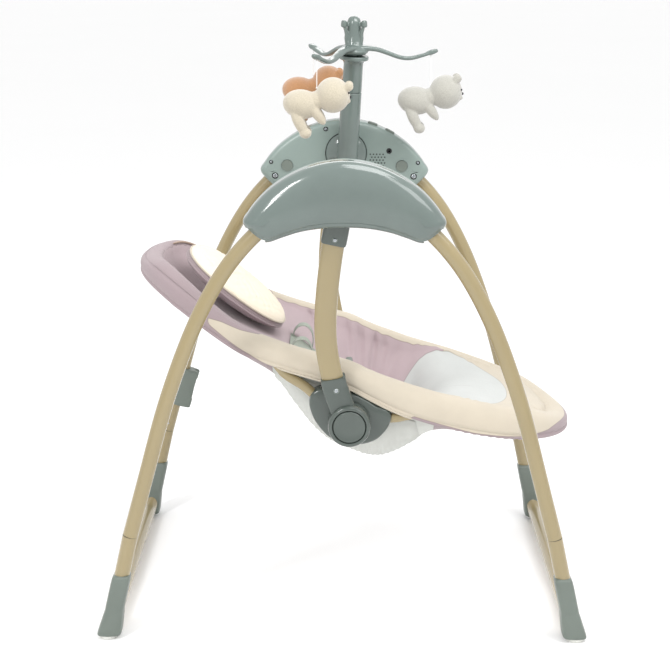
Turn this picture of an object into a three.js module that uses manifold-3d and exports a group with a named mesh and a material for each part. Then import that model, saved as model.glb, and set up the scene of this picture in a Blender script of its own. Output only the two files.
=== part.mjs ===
// Baby swing: two side housings on folding legs, a hanging reclining seat and a toy mobile.
// Millimetres. +X runs from the head end to the foot end, +Y from the near side to the far
// side, +Z up. Both sides are mirror images about Y = 0, apart from the mobile's mast.
import * as THREE from 'three';
import { mergeVertices } from 'three/addons/utils/BufferGeometryUtils.js';
import { ParametricGeometry } from 'three/addons/geometries/ParametricGeometry.js';
import Module from 'manifold-3d';

const wasm = await Module();
wasm.setup();

// ---------------------------------------------------------------- driving dimensions
const GAP = 0.3;
const LEG_PLANE = 285;
const LEG_DIAMETER = 25;
const TUBE_WALL = 1.5;
const FLOOR_REACH = 385;
const SEAM_X = 345;
const SEAM_Z = 177;
const PAD_HEIGHT = 6;
const CROSS_TUBE_Z = 22;
const FOLD_ANGLE = 20;
const LEG_PIVOT = { x: 129.5, z: 686.5 };
const PARTING_Y = 274;
const HOUSING_INNER_Y = 250;
const HOUSING_OUTER_Y = 313;
const SHELL_WALL = 2.5;
const SWING_PIVOT_Z = 730;
const HANGER_TOP_Y = 262;
const HANGER_FOOT_Y = 212;
const HUB = { x: 10, z: 348, radius: 35 };
const SEAT_FRAME_Y = 184;
const SEAT_TUBE_DIAMETER = 17;
const MAST_BOTTOM = new THREE.Vector3(5, 222, 724);
const MAST_TOP = new THREE.Vector3(15.5, 206, 908);
const MOBILE_TURN = THREE.MathUtils.degToRad(2.4);
const ARM_HOOK_REACH = 140;
const HOOK_HEIGHT = 5;
const STRING_LENGTH = 46;
const STRING_DIAMETER = 1.4;

const deg = THREE.MathUtils.degToRad;
const v3 = (x, y, z) => new THREE.Vector3(x, y, z);
const v2 = (x, y) => new THREE.Vector2(x, y);

// ---------------------------------------------------------------- finishes
const FINISHES = {
  sage_gloss: { color: 0x8d9f9b, roughness: 0.22, metalness: 0 },
  sage_satin: { color: 0x8b9c94, roughness: 0.45, metalness: 0 },
  cream_paint: { color: 0xd3c8a4, roughness: 0.25, metalness: 0.1 },
  white_rubber: { color: 0xe6e6e2, roughness: 0.7, metalness: 0 },
  steel: { color: 0x9a9da0, roughness: 0.35, metalness: 0.9 },
  black: { color: 0x26282a, roughness: 0.5, metalness: 0 },
  board: { color: 0x2f6a48, roughness: 0.5, metalness: 0 },
  cream_cotton: { color: 0xeadfca, roughness: 0.9, metalness: 0 },
  webbing: { color: 0xaab3a6, roughness: 0.8, metalness: 0 },
  cord: { color: 0xf2f2f0, roughness: 0.8, metalness: 0 },
  plush_cream: { color: 0xe9dcc3, roughness: 1, metalness: 0 },
  plush_brown: { color: 0xcf8a55, roughness: 1, metalness: 0 },
  plush_grey: { color: 0xd9d8d6, roughness: 1, metalness: 0 },
};

const swing = new THREE.Group();

function addPart(name, geometry, finish) {
  const mesh = new THREE.Mesh(geometry, new THREE.MeshStandardMaterial(FINISHES[finish]));
  mesh.name = name;
  swing.add(mesh);
  return mesh;
}

// ---------------------------------------------------------------- solids and booleans
// Position-only copy of a geometry with shared vertices joined and flat triangles dropped.
function weld(geometry) {
  const bare = geometry.clone();
  for (const name of Object.keys(bare.attributes)) {
    if (name !== 'position') bare.deleteAttribute(name);
  }
  const merged = mergeVertices(bare, 1e-3);
  const kept = [];
  const index = merged.index.array;
  for (let i = 0; i < index.length; i += 3) {
    const [a, b, c] = [index[i], index[i + 1], index[i + 2]];
    if (a !== b && b !== c && c !== a) kept.push(a, b, c);
  }
  merged.setIndex(kept);
  return merged;
}

function toSolid(geometry) {
  const merged = weld(geometry);
  const mesh = new wasm.Mesh({
    numProp: 3,
    vertProperties: new Float32Array(merged.attributes.position.array),
    triVerts: new Uint32Array(merged.index.array),
  });
  mesh.merge();
  return new wasm.Manifold(mesh);
}

function toGeometry(manifold) {
  const mesh = manifold.getMesh();
  const geometry = new THREE.BufferGeometry();
  geometry.setAttribute('position', new THREE.BufferAttribute(mesh.vertProperties.slice(), 3));
  geometry.setIndex(new THREE.BufferAttribute(mesh.triVerts.slice(), 1));
  return geometry;
}

const join = (...geometries) => toGeometry(geometries.map(toSolid).reduce((a, b) => a.add(b)));
const cut = (body, ...tools) => toGeometry(
  tools.map(toSolid).reduce((a, b) => a.subtract(b), toSolid(body)),
);

// Mirror image about Y = 0, with the triangles turned so that they still face out.
function mirrorY(geometry) {
  const image = weld(geometry);
  image.scale(1, -1, 1);
  const index = image.index.array;
  for (let i = 0; i < index.length; i += 3) {
    [index[i + 1], index[i + 2]] = [index[i + 2], index[i + 1]];
  }
  return image;
}

// A piece made for the far side, placed on both sides.
function addPair(name, geometry, finish) {
  addPart(`far_${name}`, geometry, finish);
  addPart(`near_${name}`, mirrorY(geometry), finish);
}

// ---------------------------------------------------------------- sections and sweeps
function ovalShape(halfX, halfY, sides, wall = 0) {
  const ring = (a, b) => Array.from({ length: sides }, (_, i) => {
    const t = (2 * Math.PI * i) / sides;
    return v2(a * Math.cos(t), b * Math.sin(t));
  });
  const shape = new THREE.Shape(ring(halfX, halfY));
  if (wall > 0) shape.holes.push(new THREE.Path(ring(halfX - wall, halfY - wall)));
  return shape;
}

function sweep(shape, curve, steps) {
  return new THREE.ExtrudeGeometry(shape, { steps, extrudePath: curve, bevelEnabled: false });
}

const smooth = (points) => new THREE.CatmullRomCurve3(points, false, 'centripetal');

// A flat outline in the X-Z plane, grown along +Y from y0 to y1, with a bevel on its y1 face.
function slab(outline, y0, y1, { inset = 0, bevel = 1, segments = 2 } = {}) {
  const shape = outline instanceof THREE.Shape ? outline : new THREE.Shape(outline);
  const geometry = new THREE.ExtrudeGeometry(shape, {
    depth: y1 - y0,
    curveSegments: 5,
    bevelThickness: bevel,
    bevelSize: bevel,
    bevelOffset: -bevel - inset,
    bevelSegments: segments,
  });
  geometry.rotateX(Math.PI / 2);
  geometry.translate(0, y1 - bevel, 0);
  const reach = 1000;
  const behind = boxAt(reach, reach, reach, 0, y0 - reach / 2, LEG_PIVOT.z);
  return cut(geometry, behind);
}

// A cylinder whose axis runs along Y.
function discY(radius, y0, y1, x, z, sides = 20) {
  const geometry = new THREE.CylinderGeometry(radius, radius, Math.abs(y1 - y0), sides);
  geometry.translate(x, (y0 + y1) / 2, z);
  return geometry;
}

function boxAt(sx, sy, sz, x, y, z, pitch = 0) {
  const geometry = new THREE.BoxGeometry(sx, sy, sz);
  geometry.rotateY(pitch);
  geometry.translate(x, y, z);
  return geometry;
}

// ---------------------------------------------------------------- side housings
// The crescent outline, without its bevel. The ends are square to the legs.
function housingOutline() {
  const half = [v2(0, 791.5), v2(45, 785), v2(85, 768.5), v2(118, 746), v2(141, 722), v2(157, 699)];
  const under = [v2(136, 670), v2(119, 664.5), v2(95, 673), v2(70, 680.5), v2(36, 685.5)];
  const right = [...half, ...under];
  const left = right.slice(1).reverse().map((p) => v2(-p.x, p.y));
  return [...right, v2(0, 687), ...left];
}

// The space that a leg's top end and its tube take up while the leg folds inwards.
function legSweep(side) {
  const tools = [];
  for (const angle of [0, FOLD_ANGLE / 3, (2 * FOLD_ANGLE) / 3, FOLD_ANGLE + 1]) {
    const tube = boxAt(LEG_DIAMETER + 3, LEG_DIAMETER + 2, 120, 0, LEG_PLANE, -33);
    tube.rotateY(deg(-49 + angle));
    tube.translate(LEG_PIVOT.x, 0, LEG_PIVOT.z);
    if (side < 0) tube.rotateZ(Math.PI).translate(0, 2 * LEG_PLANE, 0);
    tools.push(tube);
  }
  return tools;
}

const PORTS = {
  fold: { x: 107, z: 706, radius: 10.5 },
  socket: { x: 83, z: 734, radius: 5 },
  dome: { x: 3, z: SWING_PIVOT_Z, radius: 38 },
};
const BUTTONS = [{ name: 'music_button', x: 52 }, { name: 'power_button', x: 84 }];

// Centre and tilt of a button in the housing's curved top edge, a little sunk into it.
function buttonSeat(x) {
  const bow = 0.00325;
  const slope = Math.atan(2 * x * bow);
  return [x - 1.5 * Math.sin(slope), 263, 791.5 - bow * x * x - 1.5 * Math.cos(slope), slope];
}

function addHousings() {
  const outline = housingOutline();
  const mouth = boxAt(94, 40, 64, -6, 256, 672);
  const shellOuter = slab(outline, PARTING_Y + GAP, HOUSING_OUTER_Y, { bevel: 16, segments: 2 });
  const shellHollow = slab(outline, PARTING_Y - 1, HOUSING_OUTER_Y - SHELL_WALL, {
    inset: SHELL_WALL, bevel: 14, segments: 2,
  });
  const shell = cut(shellOuter, shellHollow, mouth, ...legSweep(1), ...legSweep(-1));
  const bosses = [];
  for (const side of [-1, 1]) {
    bosses.push(discY(4.4, 265, HOUSING_OUTER_Y - 1.5, side * LEG_PIVOT.x, LEG_PIVOT.z, 12));
  }
  const doorHole = boxAt(76, 20, 40, 0, HOUSING_OUTER_Y, 738);
  addPart('near_housing_shell', mirrorY(join(shell, ...bosses)), 'sage_gloss');
  addPart('far_housing_shell', cut(join(shell, ...bosses), doorHole), 'sage_gloss');
  addPart('battery_door', boxAt(75.4, 2.2, 39.4, 0, HOUSING_OUTER_Y - 1.2, 738), 'sage_gloss');

  const coverOuter = slab(outline, 0, PARTING_Y - HOUSING_INNER_Y, { bevel: 7, segments: 2 });
  coverOuter.rotateZ(Math.PI).translate(0, PARTING_Y, 0);
  const coverHollow = slab(outline, 0, PARTING_Y - HOUSING_INNER_Y - SHELL_WALL + 1, {
    inset: SHELL_WALL, bevel: 6, segments: 1,
  });
  coverHollow.rotateZ(Math.PI).translate(0, PARTING_Y + 1, 0);
  const well = discY(PORTS.fold.radius + 0.4, 240, 262, 0, PORTS.fold.z);
  const wells = [-1, 1].map((side) => well.clone().translate(side * PORTS.fold.x, 0, 0));
  const cover = cut(coverOuter, coverHollow, mouth, ...legSweep(1), ...legSweep(-1), ...wells);
  addPart('near_housing_cover', mirrorY(cover), 'sage_gloss');
  const openings = [discY(PORTS.dome.radius - 8, 240, 262, PORTS.dome.x, PORTS.dome.z)];
  openings.push(discY(PORTS.socket.radius + GAP, 240, 262, PORTS.socket.x, PORTS.socket.z, 16));
  for (const { x } of BUTTONS) {
    openings.push(boxAt(18.8, 12.8, 24, ...buttonSeat(x)));
  }
  addPart('far_housing_cover', cut(cover, ...openings), 'sage_gloss');
  for (const { name, x } of BUTTONS) {
    addPart(name, boxAt(18, 12, 9, ...buttonSeat(x)), 'sage_satin');
  }
  const foldCap = discY(PORTS.fold.radius, 248, 258, 0, 0, 24);
  for (const [name, side] of [['rear', -1], ['front', 1]]) {
    const cap = foldCap.clone().translate(side * PORTS.fold.x, 0, PORTS.fold.z);
    addPair(`${name}_fold_button`, cap, 'sage_satin');
  }
}

// ---------------------------------------------------------------- works inside the housings
function addWorks() {
  const axle = join(
    discY(5, 254.5, 306, 0, SWING_PIVOT_Z, 16),
    discY(13, 285, 309.5, 0, SWING_PIVOT_Z, 20),
    discY(9, 254, 254.8, 0, SWING_PIVOT_Z, 16),
  );
  addPart('near_pivot_axle', mirrorY(axle), 'steel');
  addPart('far_pivot_axle', axle, 'steel');
  addPart('drive_motor', boxAt(30, 20, 26, -48, 292, 733), 'steel');
  addPart('control_board', boxAt(34, 1.6, 34, 54, 282, 733), 'board');
  addPart('battery_pack', boxAt(60, 16, 24, 0, 298, 758), 'black');
  addPart('power_socket', cut(
    discY(PORTS.socket.radius, 249.5, 266, PORTS.socket.x, PORTS.socket.z, 16),
    discY(2.2, 240, 260, PORTS.socket.x, PORTS.socket.z, 10),
  ), 'black');
}

// ---------------------------------------------------------------- legs, base tubes and feet
function legCurve() {
  return smooth([
    v3(113, LEG_PLANE, 700), v3(129.5, LEG_PLANE, 686.5), v3(149, LEG_PLANE, 668),
    v3(180, LEG_PLANE, 633), v3(211, LEG_PLANE, 580), v3(239, LEG_PLANE, 524),
    v3(263, LEG_PLANE, 460), v3(286.5, LEG_PLANE, 393), v3(309, LEG_PLANE, 309),
    v3(SEAM_X - 0.2, LEG_PLANE, SEAM_Z + 0.9),
  ]);
}

const LEG_SLOPE = Math.atan2(FLOOR_REACH - SEAM_X, SEAM_Z);

// The base tube in its own tilted plane: up one side, round the corner, across and up again.
function baseCurve() {
  const rise = SEAM_Z / Math.cos(LEG_SLOPE);
  const low = CROSS_TUBE_Z / Math.cos(LEG_SLOPE);
  const bend = 46;
  const path = new THREE.CurvePath();
  const arc = (cx, start) => new THREE.CatmullRomCurve3(Array.from({ length: 7 }, (_, i) => {
    const t = start + (Math.PI / 2) * (i / 6);
    return v3(0, cx + bend * Math.cos(t), low + bend + bend * Math.sin(t));
  }));
  const corner = LEG_PLANE - bend;
  path.add(new THREE.LineCurve3(v3(0, -LEG_PLANE, rise), v3(0, -LEG_PLANE, low + bend)));
  path.add(arc(-corner, Math.PI));
  path.add(new THREE.LineCurve3(v3(0, -corner, low), v3(0, corner, low)));
  path.add(arc(corner, -Math.PI / 2));
  path.add(new THREE.LineCurve3(v3(0, LEG_PLANE, low + bend), v3(0, LEG_PLANE, rise)));
  return path;
}

// Places a piece made in the base tube's plane on the front or rear frame.
function tiltBase(geometry, side) {
  const placed = geometry.clone();
  placed.rotateY(-LEG_SLOPE);
  placed.translate(FLOOR_REACH, 0, 0);
  if (side < 0) placed.rotateZ(Math.PI);
  return placed;
}

// Corner points of the base tube where it is bent, found along the curve by even steps.
function baseTube(radius, wall, sides) {
  return sweep(ovalShape(radius, radius, sides, wall), baseCurve(), 30);
}

// The boot wraps the outer side of the base tube's corner, open towards the cross tube.
function footBoot() {
  const outline = [v2(-15, 109), v2(15, 109), v2(16.5, 40), v2(20, 6.3), v2(-20, 6.3), v2(-17.5, 40)];
  const skewed = outline.map((p) => v2(p.x + FLOOR_REACH - p.y * Math.tan(LEG_SLOPE), p.y));
  const block = slab(skewed, 262, 303, { bevel: 7, segments: 2 });
  const cavity = tiltBase(baseTube(LEG_DIAMETER / 2 + GAP, 0, 8), 1);
  const inside = boxAt(60, 22, 60, FLOOR_REACH - 12, 262, 84);
  return cut(block, cavity, inside);
}

function addFrames() {
  const radius = LEG_DIAMETER / 2;
  const pin = discY(4.8, 260, 310, LEG_PIVOT.x, LEG_PIVOT.z, 12);
  const leg = cut(sweep(ovalShape(radius, radius, 8, TUBE_WALL), legCurve(), 11), pin);
  const boot = footBoot();
  for (const [name, side] of [['front', 1], ['rear', -1]]) {
    const place = (geometry) => (side > 0 ? geometry : mirrorX(geometry));
    addPair(`${name}_leg`, place(leg), 'cream_paint');
    addPair(`${name}_foot`, place(boot), 'sage_satin');
    const padDisc = new THREE.CylinderGeometry(16, 15, PAD_HEIGHT, 20);
    padDisc.rotateX(Math.PI / 2).translate(FLOOR_REACH, 285, PAD_HEIGHT / 2);
    addPair(`${name}_pad`, place(padDisc), 'white_rubber');
    addPart(`${name}_base_tube`, tiltBase(baseTube(radius, TUBE_WALL, 8), side), 'cream_paint');
  }
}

function mirrorX(geometry) {
  return mirrorY(geometry).rotateZ(Math.PI);
}

// The clip on the far rear leg, in which the folded front leg snaps for storage.
function addLegClip() {
  const post = (radius, x, height) => {
    const cylinder = new THREE.CylinderGeometry(radius, radius, height, 20);
    return cylinder.rotateX(Math.PI / 2).translate(x, 0, 0);
  };
  const place = (geometry) => geometry.rotateY(deg(15.2)).translate(-320.5, LEG_PLANE, 257);
  const radius = LEG_DIAMETER / 2;
  const ring = place(post(radius + 3.5, 0, 60));
  const jaw = place(boxAt(28, 26, 56, 21, 0, 2));
  const back = place(boxAt(14, 60, 90, -17, 0, 0));
  const seat = place(post(radius + 1, 38, 90));
  const leg = mirrorX(sweep(ovalShape(radius + 2 * GAP, radius + 2 * GAP, 8), legCurve(), 11));
  addPart('leg_clip', cut(join(ring, jaw), leg, back, seat), 'sage_satin');
}

// ---------------------------------------------------------------- hangers and hubs
const HANGER_LEAN = Math.atan2(HANGER_TOP_Y - HANGER_FOOT_Y, SWING_PIVOT_Z - 400);

function hangerCurve(points) {
  return smooth(points.map(([x, z]) => v3(x, 0, (z - SWING_PIVOT_Z) / Math.cos(HANGER_LEAN))));
}

function leanHanger(geometry) {
  geometry.rotateX(-HANGER_LEAN);
  geometry.translate(0, HANGER_TOP_Y, SWING_PIVOT_Z);
  return geometry;
}

const HANGER_LINE = [[-14, 675], [-17.5, 656], [-23, 615], [-27.5, 570], [-29.8, 527],
  [-28.6, 484], [-23.6, 452], [-17.5, 424], [-12.5, 405]];

function addHangers() {
  const section = ovalShape(10, 18, 12, TUBE_WALL);
  const tube = leanHanger(sweep(section, hangerCurve(HANGER_LINE), 9));
  addPair('hanger_tube', tube, 'cream_paint');

  const sleeveLine = hangerCurve([[-11, 688], [-14, 672], [-17.2, 657]]);
  const boreLine = hangerCurve([[-14, 675.8], [-17.5, 656], [-20, 642]]);
  const sleeve = leanHanger(sweep(ovalShape(13, 20.6, 14), sleeveLine, 2));
  const bore = leanHanger(sweep(ovalShape(10.9, 18.9, 12), boreLine, 3));
  const head = discY(22, 256, 270, 0, SWING_PIVOT_Z, 24);
  const neck = boxAt(30, 12, 44, -6, 262.4, 700, deg(11));
  const hole = discY(5.1, 240, 280, 0, SWING_PIVOT_Z, 16);
  addPair('hanger_socket', cut(join(sleeve, head, neck), bore, hole), 'sage_gloss');
}

function addHubs() {
  const { x, z, radius } = HUB;
  const body = discY(radius, 199, 236, x, z, 20);
  const collarLine = hangerCurve([[-16.8, 427], [-11, 404], [2, 372]]);
  const boreLine = hangerCurve([[-19.6, 434], [-17.5, 424], [-12.4, 404]]);
  const collar = leanHanger(sweep(ovalShape(13, 20.6, 14), collarLine, 4));
  const bore = leanHanger(sweep(ovalShape(10.9, 18.9, 12), boreLine, 3));
  const well = discY(27.6, 224, 240, x, z, 20);
  const shaft = discY(8.3, 190, 215, x, z, 20);
  const inner = boxAt(200, 40, 200, x, 179, z);
  addPair('hub', cut(join(body, collar), bore, well, shaft, inner), 'sage_gloss');
  const button = join(discY(26.8, 230, 238.5, x, z, 20), discY(8, 226, 231, x, z, 16));
  addPair('recline_button', button, 'sage_satin');
}

// ---------------------------------------------------------------- seat
const SEAT = { headTip: -351, headFrom: -150, footFrom: 130, footTip: 397, halfWidth: 194, roll: 11 };
const SLING = { headTip: -327, footTip: 374, halfWidth: 173.4 };

// A value along X, straight between the stations of a list.
function profile(stations) {
  return (x) => {
    const next = stations.findIndex((station) => station[0] >= x);
    if (next <= 0) return stations[next < 0 ? stations.length - 1 : 0][1];
    const [[x0, y0], [x1, y1]] = [stations[next - 1], stations[next]];
    return THREE.MathUtils.mapLinear(x, x0, x1, y0, y1);
  };
}

// Side view of the seat: the frame tube's height, the padded rim's rise above it, and the
// depth of the hanging seat below it.
const tubeHeight = profile([[-351, 580], [-315, 565], [-268, 538], [-215, 503], [-161, 470],
  [-100, 448], [-36, 429], [12, 414], [46, 396], [80, 379], [120, 363], [168, 349], [259, 326],
  [330, 312], [397, 301]]);
const rimRise = profile([[-351, 12], [-320, 24], [-210, 28], [-56, 25], [40, 30], [107, 36],
  [291, 36], [343, 31], [397, 10]]);
const seatDepth = profile([[-351, 8], [-300, 24], [-200, 36], [-118, 58], [-83, 100], [-52, 134],
  [-22, 154], [17, 166], [60, 162], [93, 146], [114, 116], [134, 76], [160, 44], [200, 34],
  [300, 28], [397, 8]]);
const padThickness = profile([[-351, 8], [-280, 16], [140, 16], [175, 44], [260, 52], [340, 46],
  [397, 10]]);

// Half the width of a plan outline at X: straight sides and two rounded ends.
function halfWidthAt(x, { headTip, footTip, halfWidth }) {
  if (x < SEAT.headFrom) {
    const t = Math.min(1, (SEAT.headFrom - x) / (SEAT.headFrom - headTip));
    return halfWidth * Math.sqrt(1 - t ** 2.6);
  }
  const t = Math.max(0, Math.min(1, (x - SEAT.footFrom) / (footTip - SEAT.footFrom)));
  return halfWidth * Math.sqrt(1 - t ** 2.2);
}

// A point of the frame tube, on the seat's plan outline less the rim's roll.
const framePoint = (x) => v3(x, Math.max(0, halfWidthAt(x, SEAT) - SEAT.roll), tubeHeight(x));

// Both ends of a seat tube sit in the brackets, so a half route is mirrored to the near side.
function seatTubeCurve(half) {
  const back = half.filter((p) => p.y > 0).reverse().map((p) => v3(p.x, -p.y, p.z));
  return smooth([...half, ...back]);
}

function backTubeCurve(extra = 0) {
  const start = [v3(-32 + extra, SEAT_FRAME_Y, 372 - extra), v3(-62, SEAT_FRAME_Y, 401)];
  const rim = [-98, -150, -210, -265, -305, -326].map(framePoint);
  rim[0].z -= 22;
  rim[1].z -= 2;
  return seatTubeCurve([...start, ...rim, v3(-337, 34, 573), v3(-338.5, 0, 574)]);
}

function footTubeCurve(extra = 0) {
  const start = [v3(54 - extra, SEAT_FRAME_Y, 348), v3(88, SEAT_FRAME_Y, 350)];
  const rim = [126, 180, 240, 300, 346, 372].map(framePoint);
  rim[0].z -= 6;
  return seatTubeCurve([...start, ...rim, v3(384, 26, 303), v3(385.5, 0, 303)]);
}

function addSeatFrame() {
  const { x, z } = HUB;
  const outline = new THREE.Shape();
  outline.moveTo(-42, 401);
  outline.bezierCurveTo(-62, 397, -62, 366, -48, 347);
  outline.bezierCurveTo(-34, 322, -14, 306, 10, 303);
  outline.bezierCurveTo(34, 300, 62, 306, 74, 330);
  outline.bezierCurveTo(84, 350, 84, 363, 72, 367);
  outline.bezierCurveTo(56, 372, 40, 390, 14, 395);
  outline.bezierCurveTo(-6, 398, -24, 403, -42, 401);
  const plate = slab(outline, 173, 198.4, { bevel: 6, segments: 2 });
  const stub = discY(8, 190, 214, x, z, 20);
  const radius = SEAT_TUBE_DIAMETER / 2;
  const bore = ovalShape(radius + 2 * GAP, radius + 2 * GAP, 8);
  const bores = [backTubeCurve(2), footTubeCurve(2)].map((curve) => sweep(bore, curve, 22));
  const bracket = cut(join(plate, stub), ...bores);
  addPair('seat_bracket', bracket, 'sage_gloss');
  const section = ovalShape(radius, radius, 8, TUBE_WALL);
  addPart('back_tube', sweep(section, backTubeCurve(), 22), 'cream_paint');
  addPart('foot_tube', sweep(section, footTubeCurve(), 22), 'cream_paint');
}

// One cross-section of the sling, inside the frame tube, as a closed ring of points from the
// far rim under the seat to the near rim and back over the crest and the inside. The ends of
// the sling draw in to a point.
function slingSection(x) {
  const w = halfWidthAt(x, SLING);
  const size = Math.min(1, w / 60);
  const base = tubeHeight(x);
  const crest = rimRise(x) * size;
  const drop = seatDepth(x) * size;
  const floor = drop - padThickness(x) * size;
  const below = [[0, 2], [0, -8], [-4, -12.5]].map(([y, z]) => [w + y * size, base + z * size]);
  const above = [[-1, 0.7], [-6, 1], [-18, 1]].map(([y, z]) => [w + y * size, base + z * crest]);
  for (const angle of [20, 45, 70]) {
    const hang = (drop - 12.5 * size) * Math.sin(deg(angle));
    below.push([(w - 4 * size) * Math.cos(deg(angle)), base - 12.5 * size - hang]);
  }
  for (const angle of [25, 50, 75]) {
    const hang = (crest + floor) * Math.sin(deg(angle)) ** 1.3;
    above.push([(w - 18 * size) * Math.cos(deg(angle)), base + crest - hang]);
  }
  const near = ([y, z]) => [-y, z];
  const under = [...below, [0, base - drop], ...below.map(near).reverse()];
  const over = [...above.map(near), [0, base - floor], ...above.slice().reverse()];
  return [...under, ...over];
}

const SLING_RING = 26;

function slingSurface(u, v, target) {
  const middle = (SLING.headTip + SLING.footTip) / 2;
  const x = middle - ((SLING.footTip - SLING.headTip) / 2) * Math.cos(Math.PI * v);
  const isTip = v <= 0 || v >= 1;
  const [y, z] = slingSection(x)[Math.round((1 - u) * SLING_RING) % SLING_RING];
  target.set(x, isTip ? 0 : y, isTip ? tubeHeight(x) : z);
}

function addSoftSeat() {
  addPart('seat_sling', weld(new ParametricGeometry(slingSurface, SLING_RING, 20)), 'cream_cotton');

  const pad = new THREE.Shape();
  pad.absellipse(0, 0, 104, 92, 0, 2 * Math.PI);
  const cushion = new THREE.ExtrudeGeometry(pad, {
    depth: 8, bevelThickness: 9, bevelSize: 9, bevelOffset: -9, bevelSegments: 2, curveSegments: 10,
  });
  const head = addPart('head_cushion', weld(cushion), 'cream_cotton');
  head.position.set(-191, 0, 523);
  head.rotation.y = deg(38);

  const shoulder = addPart('shoulder_strap', new THREE.BoxGeometry(66, 116, 3), 'webbing');
  shoulder.position.set(-66, 0, 412);
  shoulder.rotation.y = deg(35);
  const crotch = addPart('crotch_strap', new THREE.BoxGeometry(3, 34, 92), 'webbing');
  crotch.position.set(16, 0, 318);
  crotch.rotation.y = deg(-6);
  const buckle = addPart('harness_buckle', new THREE.BoxGeometry(12, 46, 34), 'sage_satin');
  buckle.position.set(11.5, 0, 382);
  buckle.rotation.y = deg(-6);
}

// ---------------------------------------------------------------- mast and mobile
const mastAxis = MAST_TOP.clone().sub(MAST_BOTTOM);
const mastTurn = new THREE.Quaternion().setFromUnitVectors(v3(0, 0, 1), mastAxis.clone().normalize());

// Places a piece made along +Z from the mast's foot.
function alongMast(geometry) {
  return geometry.rotateX(Math.PI / 2).applyQuaternion(mastTurn).translate(...MAST_BOTTOM.toArray());
}

function addMast() {
  const { dome } = PORTS;
  const length = mastAxis.length();
  const seam = 124;
  const domeProfile = [v2(0, 3), v2(dome.radius - 9, 3), v2(dome.radius - 9, 8.8),
    v2(dome.radius, 8.8), v2(dome.radius - 1, 14), v2(28, 20), v2(14, 24), v2(0, 25)];
  const domeCap = new THREE.LatheGeometry(domeProfile, 16);
  domeCap.rotateX(Math.PI).translate(dome.x, 258.5, dome.z);
  const knee = new THREE.SphereGeometry(19.6, 12, 6).translate(...MAST_BOTTOM.toArray());
  const lower = alongMast(new THREE.CylinderGeometry(18.4, 19.6, seam, 18).translate(0, seam / 2, 0));
  const bore = alongMast(new THREE.CylinderGeometry(13, 13, 60, 16).translate(0, seam - 8, 0));
  const relief = discY(14, 248.6, 262, dome.x, dome.z, 16);
  addPart('mast_lower', cut(join(domeCap, knee, lower), bore, relief), 'sage_gloss');

  const upper = new THREE.LatheGeometry([
    v2(0, seam - 30), v2(12.6, seam - 30), v2(12.6, seam + GAP), v2(18.3, seam + GAP),
    v2(17.6, length - 4), v2(27, length - 2), v2(27, length + 5), v2(5, length + 5),
    v2(5, length + 15), v2(0, length + 15),
  ], 16);
  addPart('mast_upper', alongMast(upper), 'sage_gloss');
}

// Side view of one arm, from the hub out to its tip.
const ARM_LINE = [v3(4, 0, 18), v3(26, 0, 18), v3(44, 0, 15.5), v3(62, 0, 9.5),
  v3(84, 0, 2), v3(102, 0, 0.5), v3(124, 0, 5.5), v3(151, 0, 14.5)];

function addMobile() {
  const tower = new THREE.LatheGeometry([v2(7.8, 10), v2(26, 10), v2(26, 13), v2(20, 19), v2(15, 30), v2(13, 44),
    v2(13, 62), v2(10, 71), v2(4, 75), v2(0, 75.6), v2(0, 34), v2(7.8, 34), v2(7.8, 10)], 14);
  tower.rotateX(Math.PI / 2);
  const arms = [0, 1, 2].map((i) => {
    const arm = sweep(ovalShape(5.5, 3.2, 6), smooth(ARM_LINE), 9);
    const trimmed = cut(arm, new THREE.CylinderGeometry(10, 10, 60, 16).rotateX(Math.PI / 2));
    return trimmed.rotateZ(MOBILE_TURN + (i * 2 * Math.PI) / 3);
  });
  const clips = [0, 1, 2].map((i) => {
    const clip = boxAt(15, 9, 11, ARM_HOOK_REACH + 3, 0, HOOK_HEIGHT + 6);
    return clip.rotateZ(MOBILE_TURN + (i * 2 * Math.PI) / 3);
  });
  const mobile = join(tower, ...arms, ...clips);
  addPart('mobile_arms', mobile.translate(...MAST_TOP.toArray()), 'sage_gloss');
}

// A plush animal hanging from a point at the back of its neck, with its head towards +X.
function plushToy() {
  const ball = (rx, ry, rz, x, y, z, pitch = 0) => {
    const sphere = new THREE.SphereGeometry(1, rx > 12 ? 9 : 6, rx > 12 ? 6 : 4);
    return sphere.scale(rx, ry, rz).rotateY(pitch).translate(x, y, z);
  };
  const limbs = [-1, 1].flatMap((side) => [
    ball(10, 9, 27, -30, side * 14, -63, deg(-28)),
    ball(9, 8, 24, 0, side * 13, -46, deg(-38)),
    ball(7.5, 5, 7.5, 47, side * 17, -5),
  ]);
  return join(ball(31, 30, 31, 27, 0, -23), ball(34, 27, 26, -26, 0, -33, deg(8)), ...limbs);
}

const TOYS = [
  { colour: 'grey', arm: 0, drop: 6 },
  { colour: 'brown', arm: 1, drop: 0 },
  { colour: 'cream', arm: 2, drop: 0 },
];

function addToys() {
  for (const { colour, arm, drop } of TOYS) {
    const angle = MOBILE_TURN + (arm * 2 * Math.PI) / 3;
    const length = STRING_LENGTH + drop;
    const hook = v3(Math.cos(angle) * ARM_HOOK_REACH, Math.sin(angle) * ARM_HOOK_REACH, HOOK_HEIGHT);
    hook.add(MAST_TOP);
    const top = hook.z - GAP;
    const string = sweep(ovalShape(STRING_DIAMETER / 2, STRING_DIAMETER / 2, 8), new THREE.LineCurve3(
      v3(hook.x, hook.y, top), v3(hook.x, hook.y, top - length)), 3);
    addPart(`${colour}_toy_string`, string, 'cord');
    const toy = addPart(`${colour}_toy`, plushToy(), `plush_${colour}`);
    toy.position.set(hook.x, hook.y, top - length - GAP + 2.5);
  }
}

// ---------------------------------------------------------------- assembly
addHousings();
addWorks();
addFrames();
addLegClip();
addHangers();
addHubs();
addSeatFrame();
addSoftSeat();
addMast();
addMobile();
addToys();

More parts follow.
